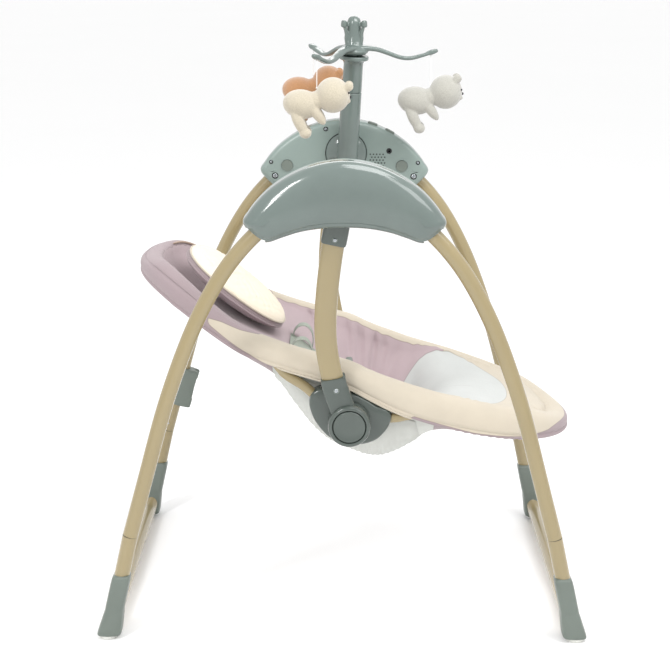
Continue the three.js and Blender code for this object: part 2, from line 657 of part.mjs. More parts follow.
// The origin lies on the floor under the middle of the whole object's box.
const box = new THREE.Box3().setFromObject(swing);
swing.position.set(-(box.min.x + box.max.x) / 2, -(box.min.y + box.max.y) / 2, -box.min.z);

export default swing;
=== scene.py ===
"""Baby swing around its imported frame: moulded housings, tube legs, a soft reclining seat, a mast
with a turning mobile, and three plush toys on strings."""
import math

import bmesh
import bpy
import numpy as np
from mathutils import Matrix, Vector


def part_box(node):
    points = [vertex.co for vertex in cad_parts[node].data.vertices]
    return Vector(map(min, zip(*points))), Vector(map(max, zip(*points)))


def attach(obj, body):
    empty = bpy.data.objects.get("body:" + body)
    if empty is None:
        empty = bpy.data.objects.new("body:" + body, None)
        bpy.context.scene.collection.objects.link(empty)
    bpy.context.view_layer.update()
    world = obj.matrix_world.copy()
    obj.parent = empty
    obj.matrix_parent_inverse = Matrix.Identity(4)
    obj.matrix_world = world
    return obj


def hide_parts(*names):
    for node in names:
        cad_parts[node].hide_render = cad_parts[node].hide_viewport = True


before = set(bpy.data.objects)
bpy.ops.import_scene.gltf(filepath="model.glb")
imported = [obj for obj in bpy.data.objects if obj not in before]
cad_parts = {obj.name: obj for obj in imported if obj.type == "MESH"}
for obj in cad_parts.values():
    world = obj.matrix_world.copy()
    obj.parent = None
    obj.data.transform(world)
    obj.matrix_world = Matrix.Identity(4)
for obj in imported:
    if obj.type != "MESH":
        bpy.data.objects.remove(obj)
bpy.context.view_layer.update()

bl_info = {
    "name": "Baby swing",
    "version": (1, 0, 0),
    "blender": (4, 5, 0),
    "location": "3D View > Sidebar > Baby swing",
    "description": "Builds the looks of a baby swing around its frame",
    "category": "Add Mesh",
}

MM = 0.001
# The swing is symmetric about this plane, apart from the mast; the frame's origin is a little off it.
MIDDLE_Y = (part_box("near_housing_shell")[0].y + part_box("far_housing_shell")[1].y) / 2
SIDES = (("near", -1), ("far", 1))
ENDS = (("rear", -1), ("front", 1))


# ---------------------------------------------------------------- numbers on curves and grids
def spline(points, count, closed=False):
    """Smooth curve through the points: cubic pieces whose slopes come from the neighbours, with
    the parameter growing by the square root of each step, read off at even lengths."""
    p = np.asarray(points, float)
    if closed:
        p = np.concatenate([p[-3:], p, p[:4]])
    knots = np.concatenate([[0], np.cumsum(np.sqrt(np.linalg.norm(np.diff(p, axis=0), axis=1)))])
    slopes = np.gradient(p, knots, axis=0)
    first, last = (knots[3], knots[-4]) if closed else (knots[0], knots[-1])
    t = np.linspace(first, last, 30 * len(p))
    k = np.clip(np.searchsorted(knots, t, side="right") - 1, 0, len(p) - 2)
    h = (knots[k + 1] - knots[k])[:, None]
    u = (t - knots[k])[:, None] / h
    dense = (1 + 2 * u) * (1 - u) ** 2 * p[k] + u * (1 - u) ** 2 * h * slopes[k]
    dense += u * u * (3 - 2 * u) * p[k + 1] + u * u * (u - 1) * h * slopes[k + 1]
    arc = np.concatenate([[0], np.cumsum(np.linalg.norm(np.diff(dense, axis=0), axis=1))])
    even = np.linspace(0, arc[-1], count + closed)[:count]
    return np.stack([np.interp(even, arc, column) for column in dense.T], axis=1)


def eased(line, passes=60):
    """Evens out a line's bends: each point moves to the mean of itself and its neighbours."""
    line = np.array(line, float)
    for _ in range(passes):
        line[1:-1] = line[1:-1] / 2 + (line[:-2] + line[2:]) / 4
    return line


def along(points, where):
    """Height at X of a smooth curve through (X, height) points."""
    curve = spline(points, 600)
    return np.interp(where, curve[:, 0], curve[:, 1])


def unit(vectors):
    """Vectors divided by their lengths."""
    return vectors / np.maximum(np.linalg.norm(vectors, axis=-1, keepdims=True), 1e-12)


def smoothstep(low, high, value):
    """0 below low, 1 above high, and 3t squared less 2t cubed between."""
    t = np.clip((value - low) / (high - low), 0, 1)
    return t * t * (3 - 2 * t)


def bump(value, middle, width):
    """A bell curve round a middle value."""
    return np.exp(-(((value - middle) / width) ** 2))


def oval(half_width, half_height, count, squareness=2.0):
    """Closed ring |x/a|^n + |y/b|^n = 1; n = 2 is an ellipse and a bigger n is boxier."""
    t = np.linspace(0, 2 * math.pi, count, endpoint=False)
    c, s = np.cos(t), np.sin(t)
    power = 2 / squareness
    x = half_width * np.sign(c) * np.abs(c) ** power
    y = half_height * np.sign(s) * np.abs(s) ** power
    return np.stack([x, y], axis=1)


def carry(section, path, side, closed=False):
    """A section carried along a path. Its first number runs square to the path and to side, its
    second one along side, made square to the path."""
    path = np.asarray(path, float)
    if closed:
        tangent = np.roll(path, -1, axis=0) - np.roll(path, 1, axis=0)
    else:
        tangent = np.gradient(path, axis=0)
    tangent = unit(tangent)
    side = np.broadcast_to(np.asarray(side, float), path.shape)
    across = unit(side - np.sum(side * tangent, axis=1, keepdims=True) * tangent)
    outward = np.cross(tangent, across)
    section = np.asarray(section, float)
    first, second = section[..., 0:1], section[..., 1:2]
    return path[:, None] + first * outward[:, None] + second * across[:, None]


def turned(profile, count, axis="z"):
    """Surface of revolution of (radius, height) points about an axis through the origin."""
    profile = np.asarray(profile, float)
    t = np.linspace(0, 2 * math.pi, count, endpoint=False)
    radius = profile[:, :1]
    x, y = radius * np.cos(t), radius * np.sin(t)
    z = np.broadcast_to(profile[:, 1:2], x.shape)
    return np.stack({"z": [x, y, z], "y": [x, z, -y]}[axis], axis=-1)


def two_sided(points, first, last, count):
    """Closed outline through the points that starts at the tip nearest to first and has the tip
    nearest to last half-way round, each side by even steps."""
    dense = spline(points, 2400, closed=True)
    start = np.argmin(np.sum((dense - first) ** 2, axis=1))
    dense = np.roll(dense, -start, axis=0)
    end = np.argmin(np.sum((dense - last) ** 2, axis=1))
    there, back = dense[: end + 1], np.concatenate([dense[end:], dense[:1]])
    return np.concatenate([spline(there, count // 2 + 1)[:-1], spline(back, count // 2 + 1)[:-1]])


def drawn_in(outline, middle, rows):
    """Rings of a two-sided outline drawn in towards a middle line, whose points each serve one
    point of either side. rows are (share of the way out, height), so the rings climb from the
    rim to a ridge over the line, and the two sides meet on it."""
    half = len(outline) // 2
    line = spline(middle, half + 1)
    foot = np.concatenate([line, line[-2:0:-1]])
    rows = np.asarray(rows, float)
    share = rows[:, 0][:, None, None]
    flat = foot[None] + share * (outline - foot)[None]
    height = np.broadcast_to(rows[:, 1][:, None], flat.shape[:2])
    return flat, height, np.linalg.norm(outline - foot, axis=1), foot


def placed(points):
    """Millimetres about the middle plane, to metres in the row frame."""
    points = np.asarray(points, float) * MM
    return points + np.array([0, MIDDLE_Y, 0])


def noise(points, scale, seed, octaves=3):
    """Soft seeded bumps from -1 to 1: sums of sine waves in random directions."""
    rng = np.random.default_rng(seed)
    total = np.zeros(points.shape[:-1])
    for octave in range(octaves):
        size = scale / 2**octave
        for _ in range(6):
            direction = rng.normal(size=3)
            direction /= np.linalg.norm(direction)
            phase = rng.uniform(0, 2 * math.pi)
            total += np.sin(points @ direction * (2 * math.pi / size) + phase) / 2**octave
    return total / 8


# ---------------------------------------------------------------- meshes
class Shape:
    """Vertices, faces and UVs of one piece, gathered from grids."""

    def __init__(self):
        self.points, self.faces, self.uvs, self.count = [], [], [], 0
        self.values = {}

    def grid(self, points, ring=True, loop=False, cap_first=False, cap_last=False, **values):
        """Adds a grid of rows and columns. ring joins the last column to the first, loop the
        last row to the first, and a cap closes a row with triangles to its middle."""
        rows, columns = points.shape[:2]
        row, column = np.meshgrid(
            np.arange(rows if loop else rows - 1), np.arange(columns if ring else columns - 1), indexing="ij"
        )
        down, right = (row + 1) % rows, (column + 1) % columns
        corners = [(row, column), (row, right), (down, right), (down, column)]
        faces = np.stack([r * columns + c for r, c in corners], axis=-1).reshape(-1, 4) + self.count
        wide = np.concatenate([points, points[:, :1]], axis=1)
        tall = np.concatenate([points, points[:1]], axis=0)
        across = np.concatenate([[0], np.cumsum(np.linalg.norm(np.diff(wide, axis=1), axis=2).mean(0))])
        up = np.concatenate([[0], np.cumsum(np.linalg.norm(np.diff(tall, axis=0), axis=2).mean(1))])
        steps = [(row, column), (row, column + 1), (row + 1, column + 1), (row + 1, column)]
        uv = np.stack([np.stack([across[c], up[r]], axis=-1) for r, c in steps], axis=2).reshape(-1, 2)
        self.points.append(points.reshape(-1, 3))
        self.faces += faces.tolist()
        self.uvs.append(uv)
        for name, value in values.items():
            self.values.setdefault(name, []).append((self.count, np.asarray(value, float).reshape(-1)))
        start = self.count
        self.count += rows * columns
        for wanted, index in ((cap_first, 0), (cap_last, rows - 1)):
            if wanted:
                self._cap(start + index * columns + np.arange(columns), points[index], index == 0)
        return self

    def _cap(self, ring, points, first):
        """Closes an end ring with a fan about the ring's mean point."""
        self.points.append(points.mean(axis=0, keepdims=True))
        following = np.roll(ring, -1)
        middle = np.full_like(ring, self.count)
        order = [ring, middle, following] if first else [ring, following, middle]
        self.faces += np.stack(order, axis=1).tolist()
        self.uvs.append(np.zeros((3 * len(ring), 2)))
        self.count += 1

    def mesh(self, name, closed=True):
        """The pieces as one mesh, with its UVs and values, its doubles merged and its faces outwards."""
        mesh = bpy.data.meshes.new(name)
        points = np.concatenate(self.points)
        mesh.from_pydata(points.tolist(), [], self.faces)
        layer = mesh.uv_layers.new(name="cloth")
        layer.data.foreach_set("uv", np.concatenate(self.uvs).astype(np.float32).ravel())
        for value_name, parts in self.values.items():
            attribute = mesh.attributes.new(value_name, "FLOAT", "POINT")
            array = np.zeros(len(points), np.float32)
            for start, part in parts:
                array[start:start + len(part)] = part
            attribute.data.foreach_set("value", array)
        if closed:
            tidy(mesh)
        return mesh


def tidy(mesh):
    """Joins points that coincide, drops empty faces and turns every face outwards."""
    work = bmesh.new()
    work.from_mesh(mesh)
    bmesh.ops.remove_doubles(work, verts=work.verts, dist=2e-6)
    bmesh.ops.dissolve_degenerate(work, edges=work.edges, dist=1e-7)
    bmesh.ops.recalc_face_normals(work, faces=work.faces)
    work.to_mesh(mesh)
    work.free()


def finished(name, mesh, surface, body, replaced=(), sharp=40):
    """Puts a mesh in the scene as a piece of a body, with its finish and the nodes it stands for."""
    piece = bpy.data.objects.new(name, mesh)
    bpy.context.scene.collection.objects.link(piece)
    mesh.shade_smooth()
    if sharp:
        mesh.set_sharp_from_angle(angle=math.radians(sharp))
    mesh.materials.clear()
    mesh.materials.append(surface)
    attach(piece, body)
    if replaced:
        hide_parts(*replaced)
    return piece


def baked(piece):
    """Replaces a piece's mesh by what its modifiers make of it, and drops the modifiers."""
    bpy.context.view_layer.update()
    graph = bpy.context.evaluated_depsgraph_get()
    mesh = bpy.data.meshes.new_from_object(piece.evaluated_get(graph))
    piece.modifiers.clear()
    piece.data = mesh
    return mesh


def carved(mesh, cutters):
    """The mesh less the cutter meshes, by booleans on closed meshes."""
    block = bpy.data.objects.new("carving_block", mesh)
    bpy.context.scene.collection.objects.link(block)
    tools = []
    for cutter in cutters:
        tool = bpy.data.objects.new("carving_tool", cutter)
        bpy.context.scene.collection.objects.link(tool)
        modifier = block.modifiers.new("cut", "BOOLEAN")
        modifier.object, modifier.operation, modifier.solver = tool, "DIFFERENCE", "MANIFOLD"
        tools.append(tool)
    result = baked(block)
    for used in [block, *tools]:
        bpy.data.objects.remove(used)
    return result


def box_mesh(centre, size, pitch=0.0):
    """A box about a centre, turned about the Y axis, in millimetres of the middle plane."""
    corners = np.array([[x, y, z] for x in (-0.5, 0.5) for y in (-0.5, 0.5) for z in (-0.5, 0.5)]) * size
    turn = np.array(Matrix.Rotation(pitch, 3, "Y"))
    points = placed(corners @ turn.T + np.asarray(centre, float))
    faces = [(0, 1, 3, 2), (4, 6, 7, 5), (0, 4, 5, 1), (2, 3, 7, 6), (0, 2, 6, 4), (1, 5, 7, 3)]
    mesh = bpy.data.meshes.new("box")
    mesh.from_pydata(points.tolist(), [], faces)
    tidy(mesh)
    return mesh


def drum_mesh(radius, y0, y1, x, z, count=48):
    """A cylinder along Y, in millimetres of the middle plane."""
    rings = turned([(radius, y0), (radius, y1)], count, "y") + np.array([x, 0, z])
    return Shape().grid(placed(rings), cap_first=True, cap_last=True).mesh("drum")


# ---------------------------------------------------------------- node materials
class Value:
    """A shader socket that can be added, multiplied and compared like a number."""

    def __init__(self, surface, socket):
        self.surface, self.socket = surface, socket

    def _math(self, operation, *operands):
        """A Math node on this value and others."""
        inputs = dict(enumerate(operands))
        return self.surface.node("ShaderNodeMath", {"operation": operation}, inputs)

    def __add__(self, other):
        return self._math("ADD", self, other)

    def __sub__(self, other):
        return self._math("SUBTRACT", self, other)

    def __rsub__(self, other):
        return self._math("SUBTRACT", other, self)

    def __mul__(self, other):
        return self._math("MULTIPLY", self, other)

    __radd__ = __add__
    __rmul__ = __mul__

    def sine(self):
        """The sine of the value."""
        return self._math("SINE", self)

    def bigger(self, other):
        """The bigger of two values."""
        return self._math("MAXIMUM", self, other)

    def size(self):
        """The value without its sign."""
        return self._math("ABSOLUTE", self)

    def between(self, low, high):
        """0 below low, 1 above high, and an even slope between."""
        settings = {"interpolation_type": "SMOOTHSTEP"}
        return self.surface.node("ShaderNodeMapRange", settings,
                                 {"Value": self, "From Min": low, "From Max": high})


class Surface:
    """One node material: a Principled shader and the nodes that feed it."""

    def __init__(self, name, roughness=0.5, **uniform):
        self.material = bpy.data.materials.new(name)
        self.material.use_nodes = True
        self.tree = self.material.node_tree
        self.tree.nodes.clear()
        self.shader = self.tree.nodes.new("ShaderNodeBsdfPrincipled")
        output = self.tree.nodes.new("ShaderNodeOutputMaterial")
        self.tree.links.new(self.shader.outputs[0], output.inputs[0])
        self.shader.inputs["Roughness"].default_value = roughness
        for socket, value in uniform.items():
            self.shader.inputs[socket.replace("_", " ")].default_value = value
        self.coordinates = self.node("ShaderNodeTexCoord", output="Object")

    def node(self, kind, settings=None, inputs=None, output=0):
        """A node of a kind, with its settings set first and its sockets fed or linked after."""
        node = self.tree.nodes.new(kind)
        for name, value in (settings or {}).items():
            setattr(node, name, value)
        for name, value in (inputs or {}).items():
            self.feed(node.inputs[name], value)
        return Value(self, node.outputs[output])

    def feed(self, socket, value):
        """Links a value to a socket, or sets the socket."""
        if isinstance(value, Value):
            self.tree.links.new(value.socket, socket)
        elif isinstance(value, (tuple, list)) and len(value) == 3 and socket.type == "RGBA":
            socket.default_value = (*value, 1)
        else:
            socket.default_value = value

    def noise(self, scale, detail=3.0, roughness=0.55, vector=None):
        """Cloud noise on the object coordinates."""
        inputs = {"Vector": vector or self.coordinates, "Scale": scale, "Detail": detail,
                  "Roughness": roughness}
        return self.node("ShaderNodeTexNoise", {}, inputs)

    def cells(self, scale, vector=None):
        """Distances to scattered points."""
        inputs = {"Vector": vector or self.coordinates, "Scale": scale}
        return self.node("ShaderNodeTexVoronoi", {"feature": "F1"}, inputs)

    def attribute(self, name):
        """A number stored on the mesh's points."""
        return self.node("ShaderNodeAttribute", {"attribute_name": name}, output="Fac")

    def uv(self):
        """The piece's own UVs."""
        return self.node("ShaderNodeUVMap", {"uv_map": "cloth"})

    def split(self, vector):
        """The three parts of a vector."""
        node = self.tree.nodes.new("ShaderNodeSeparateXYZ")
        self.tree.links.new(vector.socket, node.inputs[0])
        return [Value(self, output) for output in node.outputs]

    def mix(self, factor, first, second):
        """Colours between the first, at factor 0, and the second, at factor 1."""
        return self.node("ShaderNodeMix", {"data_type": "RGBA"}, {"Factor": factor, 6: first, 7: second},
                         output=2)

    def colour(self, value):
        """Sets the base colour."""
        self.feed(self.shader.inputs["Base Color"], value)
        return self

    def rough(self, value):
        """Sets the roughness."""
        self.feed(self.shader.inputs["Roughness"], value)
        return self

    def relief(self, height, distance, strength=1.0):
        """Bumps the surface by a height."""
        inputs = {"Height": height, "Distance": distance, "Strength": strength}
        self.feed(self.shader.inputs["Normal"], self.node("ShaderNodeBump", {}, inputs))
        return self


def shade(colour, factor):
    """A colour times a factor, kept at 1 or below."""
    return tuple(min(1.0, channel * factor) for channel in colour)


def moulded(name, colour, roughness, grain):
    """Moulded plastic: faint flow marks in the colour, handling marks in the gloss, a fine skin."""
    s = Surface(name, Specular_IOR_Level=0.5, Coat_Weight=0.35 if roughness < 0.3 else 0.0,
                Coat_Roughness=0.05)
    flow = s.noise(9.0, 4.0)
    s.colour(s.mix(flow.between(0.3, 0.7), shade(colour, 0.94), shade(colour, 1.05)))
    s.rough(s.noise(38.0, 5.0) * (roughness * 0.5) + roughness * 0.75)
    return s.relief(s.noise(900.0, 2.0) * 0.6 + s.noise(60.0, 2.0) * 0.4, grain).material


def painted(name, colour):
    """Glossy powder coat on steel tube: orange peel, faint tone drift, a clear top."""
    s = Surface(name, Specular_IOR_Level=0.5, Coat_Weight=0.6, Coat_Roughness=0.05)
    s.colour(s.mix(s.noise(10.0, 2.0).between(0.2, 0.8), shade(colour, 0.97), shade(colour, 1.02)))
    s.rough(s.noise(45.0, 2.0) * 0.05 + 0.21)
    return s.relief(s.noise(300.0, 1.0), 0.00001).material


def bare_metal(name, colour, roughness):
    """Plated steel: fine turning lines and a few dull spots."""
    s = Surface(name, Metallic=1.0)
    s.colour(s.mix(s.noise(150.0, 3.0).between(0.35, 0.75), colour, shade(colour, 0.8)))
    s.rough(s.noise(300.0, 4.0) * 0.15 + roughness)
    return s.relief(s.noise(1400.0, 2.0), 0.00002).material


def rubber(name, colour):
    """Matt moulded rubber with dust in its grain."""
    s = Surface(name, Specular_IOR_Level=0.3)
    s.colour(s.mix(s.noise(40.0, 5.0).between(0.3, 0.8), colour, shade(colour, 0.86)))
    s.rough(s.noise(90.0, 3.0) * 0.2 + 0.6)
    return s.relief(s.noise(1200.0, 3.0), 0.00006).material


def weave_height(s, pitch, vector):
    """Over-and-under threads: two crossed waves, each lifted where the other dips."""
    u, v, _ = s.split(vector)
    turn = 2 * math.pi / pitch
    return (u * turn).sine().size().bigger((v * turn).sine().size()) + s.noise(2500.0, 1.0) * 0.3


def cloth(s, colour, pitch=0.0011, relief=0.00012, slub=0.05):
    """Woven cloth on the piece's own UVs: threads, slubs and a soft drift of tone."""
    threads = weave_height(s, pitch, s.uv())
    tone = s.noise(26.0, 5.0).between(0.25, 0.8)
    dark = s.mix(tone, (1 - slub,) * 3, (1.0, 1.0, 1.0))
    toned = s.node("ShaderNodeMix", {"data_type": "RGBA", "blend_type": "MULTIPLY"},
                   {"Factor": 1.0, 6: colour, 7: dark}, output=2)
    s.colour(toned)
    s.rough(s.noise(200.0, 2.0) * 0.1 + 0.82)
    return s.relief(threads, relief).material


def plain_cloth(name, colour, pitch=0.0011, relief=0.00012):
    """Woven cloth of one colour."""
    return cloth(Surface(name, Sheen_Weight=0.25, Sheen_Roughness=0.5, Specular_IOR_Level=0.25), colour,
                 pitch, relief)


def plush(name, colour):
    """Short terry pile: tufts from small cells over soft lumps, lighter at the tips and darker between the
    tufts as painted light and shade.
    """
    s = Surface(name, Sheen_Weight=0.6, Sheen_Roughness=0.6, Specular_IOR_Level=0.1)
    tufts = s.cells(900.0)
    lumps = s.noise(120.0, 4.0)
    # Lighter at the tuft tips and darker between the tufts: painted light and shade on the pile.
    s.colour(s.mix(tufts.between(0.1, 0.75), shade(colour, 1.05), shade(colour, 0.8)))
    s.rough(lumps * 0.1 + 0.88)
    return s.relief(lumps * 0.5 - tufts * 0.8, 0.0004).material


def panelled(name, base, panels):
    """Cloth whose panels are told apart by values on the mesh: each (value name, colour) shows
    where its value is above zero, with a thin dark stitch line on its edge."""
    s = Surface(name, Sheen_Weight=0.25, Sheen_Roughness=0.5, Specular_IOR_Level=0.25)
    colour = base
    seam = 0.0
    for value_name, tint in panels:
        value = s.attribute(value_name)
        colour = s.mix(value.between(-0.0003, 0.0003), colour, tint)
        line = 1 - value.size().between(0.0002, 0.0011)
        seam = line if isinstance(seam, float) else (seam * (1 - value.between(-0.0003, 0.0003))).bigger(line)
    dark = s.mix(seam * 0.4, (1.0, 1.0, 1.0), (0.3, 0.26, 0.22))
    toned = s.node("ShaderNodeMix", {"data_type": "RGBA", "blend_type": "MULTIPLY"},
                   {"Factor": 1.0, 6: colour, 7: dark}, output=2)
    return cloth(s, toned)


# ---------------------------------------------------------------- colours and finishes
SAGE = (0.125, 0.157, 0.145)
SAGE_SATIN = (0.145, 0.172, 0.15)
# Sage darkened to about half: painted shade for the low arm sockets, hubs, recline caps and seat lobes, which
# get less light than the housings.
SAGE_PAINTED_SHADE = (0.068, 0.085, 0.075)
CREAM_PAINT = (0.30, 0.24, 0.122)
CREAM_CLOTH = (0.575, 0.515, 0.42)
MAUVE_CLOTH = (0.34, 0.272, 0.285)
OVAL_CLOTH = (0.55, 0.565, 0.55)
MESH_CLOTH = (0.58, 0.59, 0.555)
WEBBING = (0.33, 0.37, 0.31)
TOY_COLOURS = {"cream": (0.52, 0.465, 0.36), "brown": (0.46, 0.23, 0.10), "grey": (0.42, 0.41, 0.365)}
FINISHES = {}


def make_finishes(colours):
    """Every finish of the swing, by name, from the colours that the panel holds."""
    sage, satin, paint = tuple(colours.sage), tuple(colours.satin), tuple(colours.paint)
    cream, mauve = tuple(colours.cream), tuple(colours.mauve)
    oval_grey, net, belt = tuple(colours.oval), tuple(colours.net), tuple(colours.webbing)
    FINISHES.update(
        gloss=moulded("sage_gloss", sage, 0.14, 0.00003),
        satin=moulded("sage_satin", satin, 0.42, 0.00007),
        # Painted shade: the low swing-arm and seat parts in darkened sage.
        deep=moulded("sage_painted_shade", SAGE_PAINTED_SHADE, 0.2, 0.00004),
        # The covers' sage is the housings' sage made 1.75 times lighter: painted light for the high inner
        # faces, which get more light.
        cover=moulded("sage_cover_painted_light", shade(sage, 1.75), 0.3, 0.00005),
        paint=painted("cream_paint", paint),
        rubber=rubber("white_rubber", (0.72, 0.72, 0.68)),
        steel=bare_metal("steel", (0.45, 0.46, 0.47), 0.3),
        chrome=bare_metal("screw_chrome", (0.42, 0.45, 0.47), 0.1),
        black=moulded("black", (0.012, 0.013, 0.014), 0.4, 0.00006),
        dark=rubber("shadow_gap", (0.03, 0.034, 0.034)),
        board=moulded("board", (0.02, 0.12, 0.06), 0.45, 0.00005),
        mauve=plain_cloth("mauve_cotton", mauve),
        piping=plain_cloth("cream_piping", shade(cream, 0.97), 0.0008),
        binding=plain_cloth("head_binding", (0.42, 0.31, 0.24), 0.0008),
        mesh=plain_cloth("mesh_net", net, 0.003, 0.0004),
        webbing=plain_cloth("webbing", belt, 0.0022, 0.0004),
        # The inner panels take the mauve made 1.35 times lighter: painted light inside the seat.
        seat=panelled("seat_panels", cream, [("rim_mauve", mauve), ("inner_mauve_lit", shade(mauve, 1.35)),
                                             ("foot_oval", oval_grey), ("net", net)]),
        # The pillow takes the cream made 1.45 times lighter: painted light on the head pillow.
        pillow=panelled("pillow_panels_lit", shade(cream, 1.45), [("cushion_band", mauve)]),
        cord=plain_cloth("cord", (0.86, 0.86, 0.85), 0.0006, 0.0001),
        toy_cream=plush("plush_cream", TOY_COLOURS["cream"]),
        toy_brown=plush("plush_brown", TOY_COLOURS["brown"]),
        toy_grey=plush("plush_grey", TOY_COLOURS["grey"]),
    )


# ---------------------------------------------------------------- frame: housings
HOUSING_HALF = [(0, 791.5), (45, 785), (85, 768.5), (118, 746), (141, 722), (151, 708), (157, 699),
                (155.5, 691), (147, 680.5), (138, 671.5), (129, 665.5), (119, 664), (95, 672), (70, 680),
                (36, 686), (0, 687.5)]
HOUSING_MIDDLE = [(-124, 694), (-100, 713), (-60, 730), (0, 739), (60, 730), (100, 713), (124, 694)]
SHELL_ROWS = [(1.0, 274.3), (1.0, 280), (1.0, 286), (0.985, 291.5), (0.945, 296.6), (0.88, 300.8),
              (0.78, 304.8), (0.63, 308.4), (0.44, 311.2), (0.2, 312.7), (0.0, 313)]
COVER_ROWS = [(1.0, 274.0), (1.0, 266), (0.997, 261), (0.975, 256.5), (0.93, 253.4), (0.86, 251.4),
              (0.75, 250.4), (0.5, 250), (0.0, 250)]


def housing_outline(count=360):
    """The crescent's outline by even steps: its right half and the mirror image of that."""
    left = [(-x, z) for x, z in HOUSING_HALF[-2:0:-1]]
    return two_sided(HOUSING_HALF + left, (-156, 696), (156, 696), count)


def moulded_half(rows, lip):
    """One half of a housing: the crescent drawn in to its middle line. The lip sinks a soft
    groove parallel to the lower edge and a fainter one inside the upper edge."""
    outline = housing_outline()
    rows = spline(rows, 54)
    flat, height, reach, foot = drawn_in(outline, HOUSING_MIDDLE, rows)
    inset = (1 - rows[:, 0])[:, None] * reach[None]
    bottom = smoothstep(0, 25, foot[:, 1] - outline[:, 1])
    bottom = bottom * smoothstep(150, 128, np.abs(outline[:, 0]))
    sink = 1.5 * bump(inset, 8.5, 2.6) * bottom[None] + 0.5 * bump(inset, 5.5, 1.8) * (1 - bottom)[None]
    sink = sink * smoothstep(0.2, 3.0, inset) * lip
    outward = np.sign(rows[-1, 1] - rows[0, 1])
    front = np.stack([flat[..., 0], height - outward * sink, flat[..., 1]], axis=-1)
    inner = np.stack([foot[:, 0], np.full(len(foot), rows[0, 1]), foot[:, 1]], axis=-1)[None]
    return np.concatenate([inner, front], axis=0)


def leg_slots():
    """The room that the leg tops need in a housing while the legs fold inwards."""
    tools = []
    for side in (-1, 1):
        for angle in (0, 7, 14, 22):
            pitch = math.radians(side * (-49 + angle))
            swing = np.array([math.sin(pitch) * -33, 0, math.cos(pitch) * -33])
            tools.append(box_mesh(np.array([side * 129.5, 285, 686.5]) + swing, (30.5, 28, 120), pitch))
    return tools


def flipped(mesh):
    """Mirror image of a mesh about the middle plane, with its faces turned outwards again."""
    copy = mesh.copy()
    copy.transform(Matrix.Translation((0, MIDDLE_Y, 0)) @ Matrix.Diagonal((1, -1, 1, 1))
                   @ Matrix.Translation((0, -MIDDLE_Y, 0)))
    tidy(copy)
    return copy


def both_sides(name, mesh, surface, body, replaced, sharp=40):
    """The far-side mesh as it is and its mirror image on the near side."""
    for side, sign in SIDES:
        shown = mesh if sign > 0 else flipped(mesh)
        own_body = body.format(side=side)
        finished(f"{side}_{name}", shown, surface, own_body, [n.format(side=side) for n in replaced],
                 sharp)


def ring_rows(inner, outer, low, high, round_by):
    """Rows of a flat ring with rounded edges: (radius, height) from its inner foot to its outer foot."""
    r = round_by
    return [(inner, low), (inner, high - r), (inner + 0.3 * r, high - 0.3 * r), (inner + r, high),
            (outer - r, high), (outer - 0.3 * r, high - 0.3 * r), (outer, high - r), (outer, low)]


def cap_rows(radius, low, high, round_by, dish=0.0):
    """Rows of a disc with a rounded edge and a slightly dished face."""
    r = round_by
    return [(0.001, low), (radius, low), (radius, high - r), (radius - 0.3 * r, high - 0.3 * r),
            (radius - r, high), (radius * 0.5, high - dish), (0.001, high - dish)]


def lathe_y(rows, x, z, sign=1, count=64):
    """A turned piece about an axis along Y, its heights being distances from the middle plane."""
    rings = turned(rows, count, "y") + np.array([x, 0, z])
    return rings * np.array([1, sign, 1])


def screw(shape, x, y, z, radius, sign, out=-1):
    """A pan screw seen along Y with a cross slot: a domed disc whose rim dips at four places."""
    t = np.linspace(0, 2 * math.pi, 48, endpoint=False)
    rows = []
    for share, rise in ((1.0, 0.0), (1.0, 0.25), (0.9, 0.5), (0.7, 0.7), (0.45, 0.8), (0.2, 0.8),
                        (0.02, 0.8)):
        slot_depth = 0.45 * np.abs(np.cos(2 * t)) ** 14 * (share < 0.75)
        height = radius * (rise - slot_depth) * 0.5 * out
        rows.append(np.stack([x + share * radius * np.cos(t), y + height, z + share * radius * np.sin(t)],
                             -1))
    shape.grid(placed(np.stack(rows) * np.array([1, sign, 1])), cap_first=True, cap_last=True)


COVER_SCREWS = [(-129.5, 686.5, 4.6), (129.5, 686.5, 4.6), (-137, 712, 2.4), (137, 712, 2.4), (-35, 774, 3.0)]
# The far housing's top edge falls away as a parabola; the keys lie square to it.
TOP_Z, TOP_FALL = 791.5, 0.00325
BUTTON_TILTS = [(x, math.atan(2 * x * TOP_FALL)) for x in (52, 84)]
SPEAKER_SLOTS = [(0.5 * (i + j % 2 * 0.5) * 12 - 12, j * 5.4 - 11) for i in range(5) for j in range(5)]


def key_centre(x, tilt):
    """Middle of a key: 1.5 below the top edge's parabola, along its normal."""
    return np.array([x - 1.5 * math.sin(tilt), 263, TOP_Z - TOP_FALL * x * x - 1.5 * math.cos(tilt)])


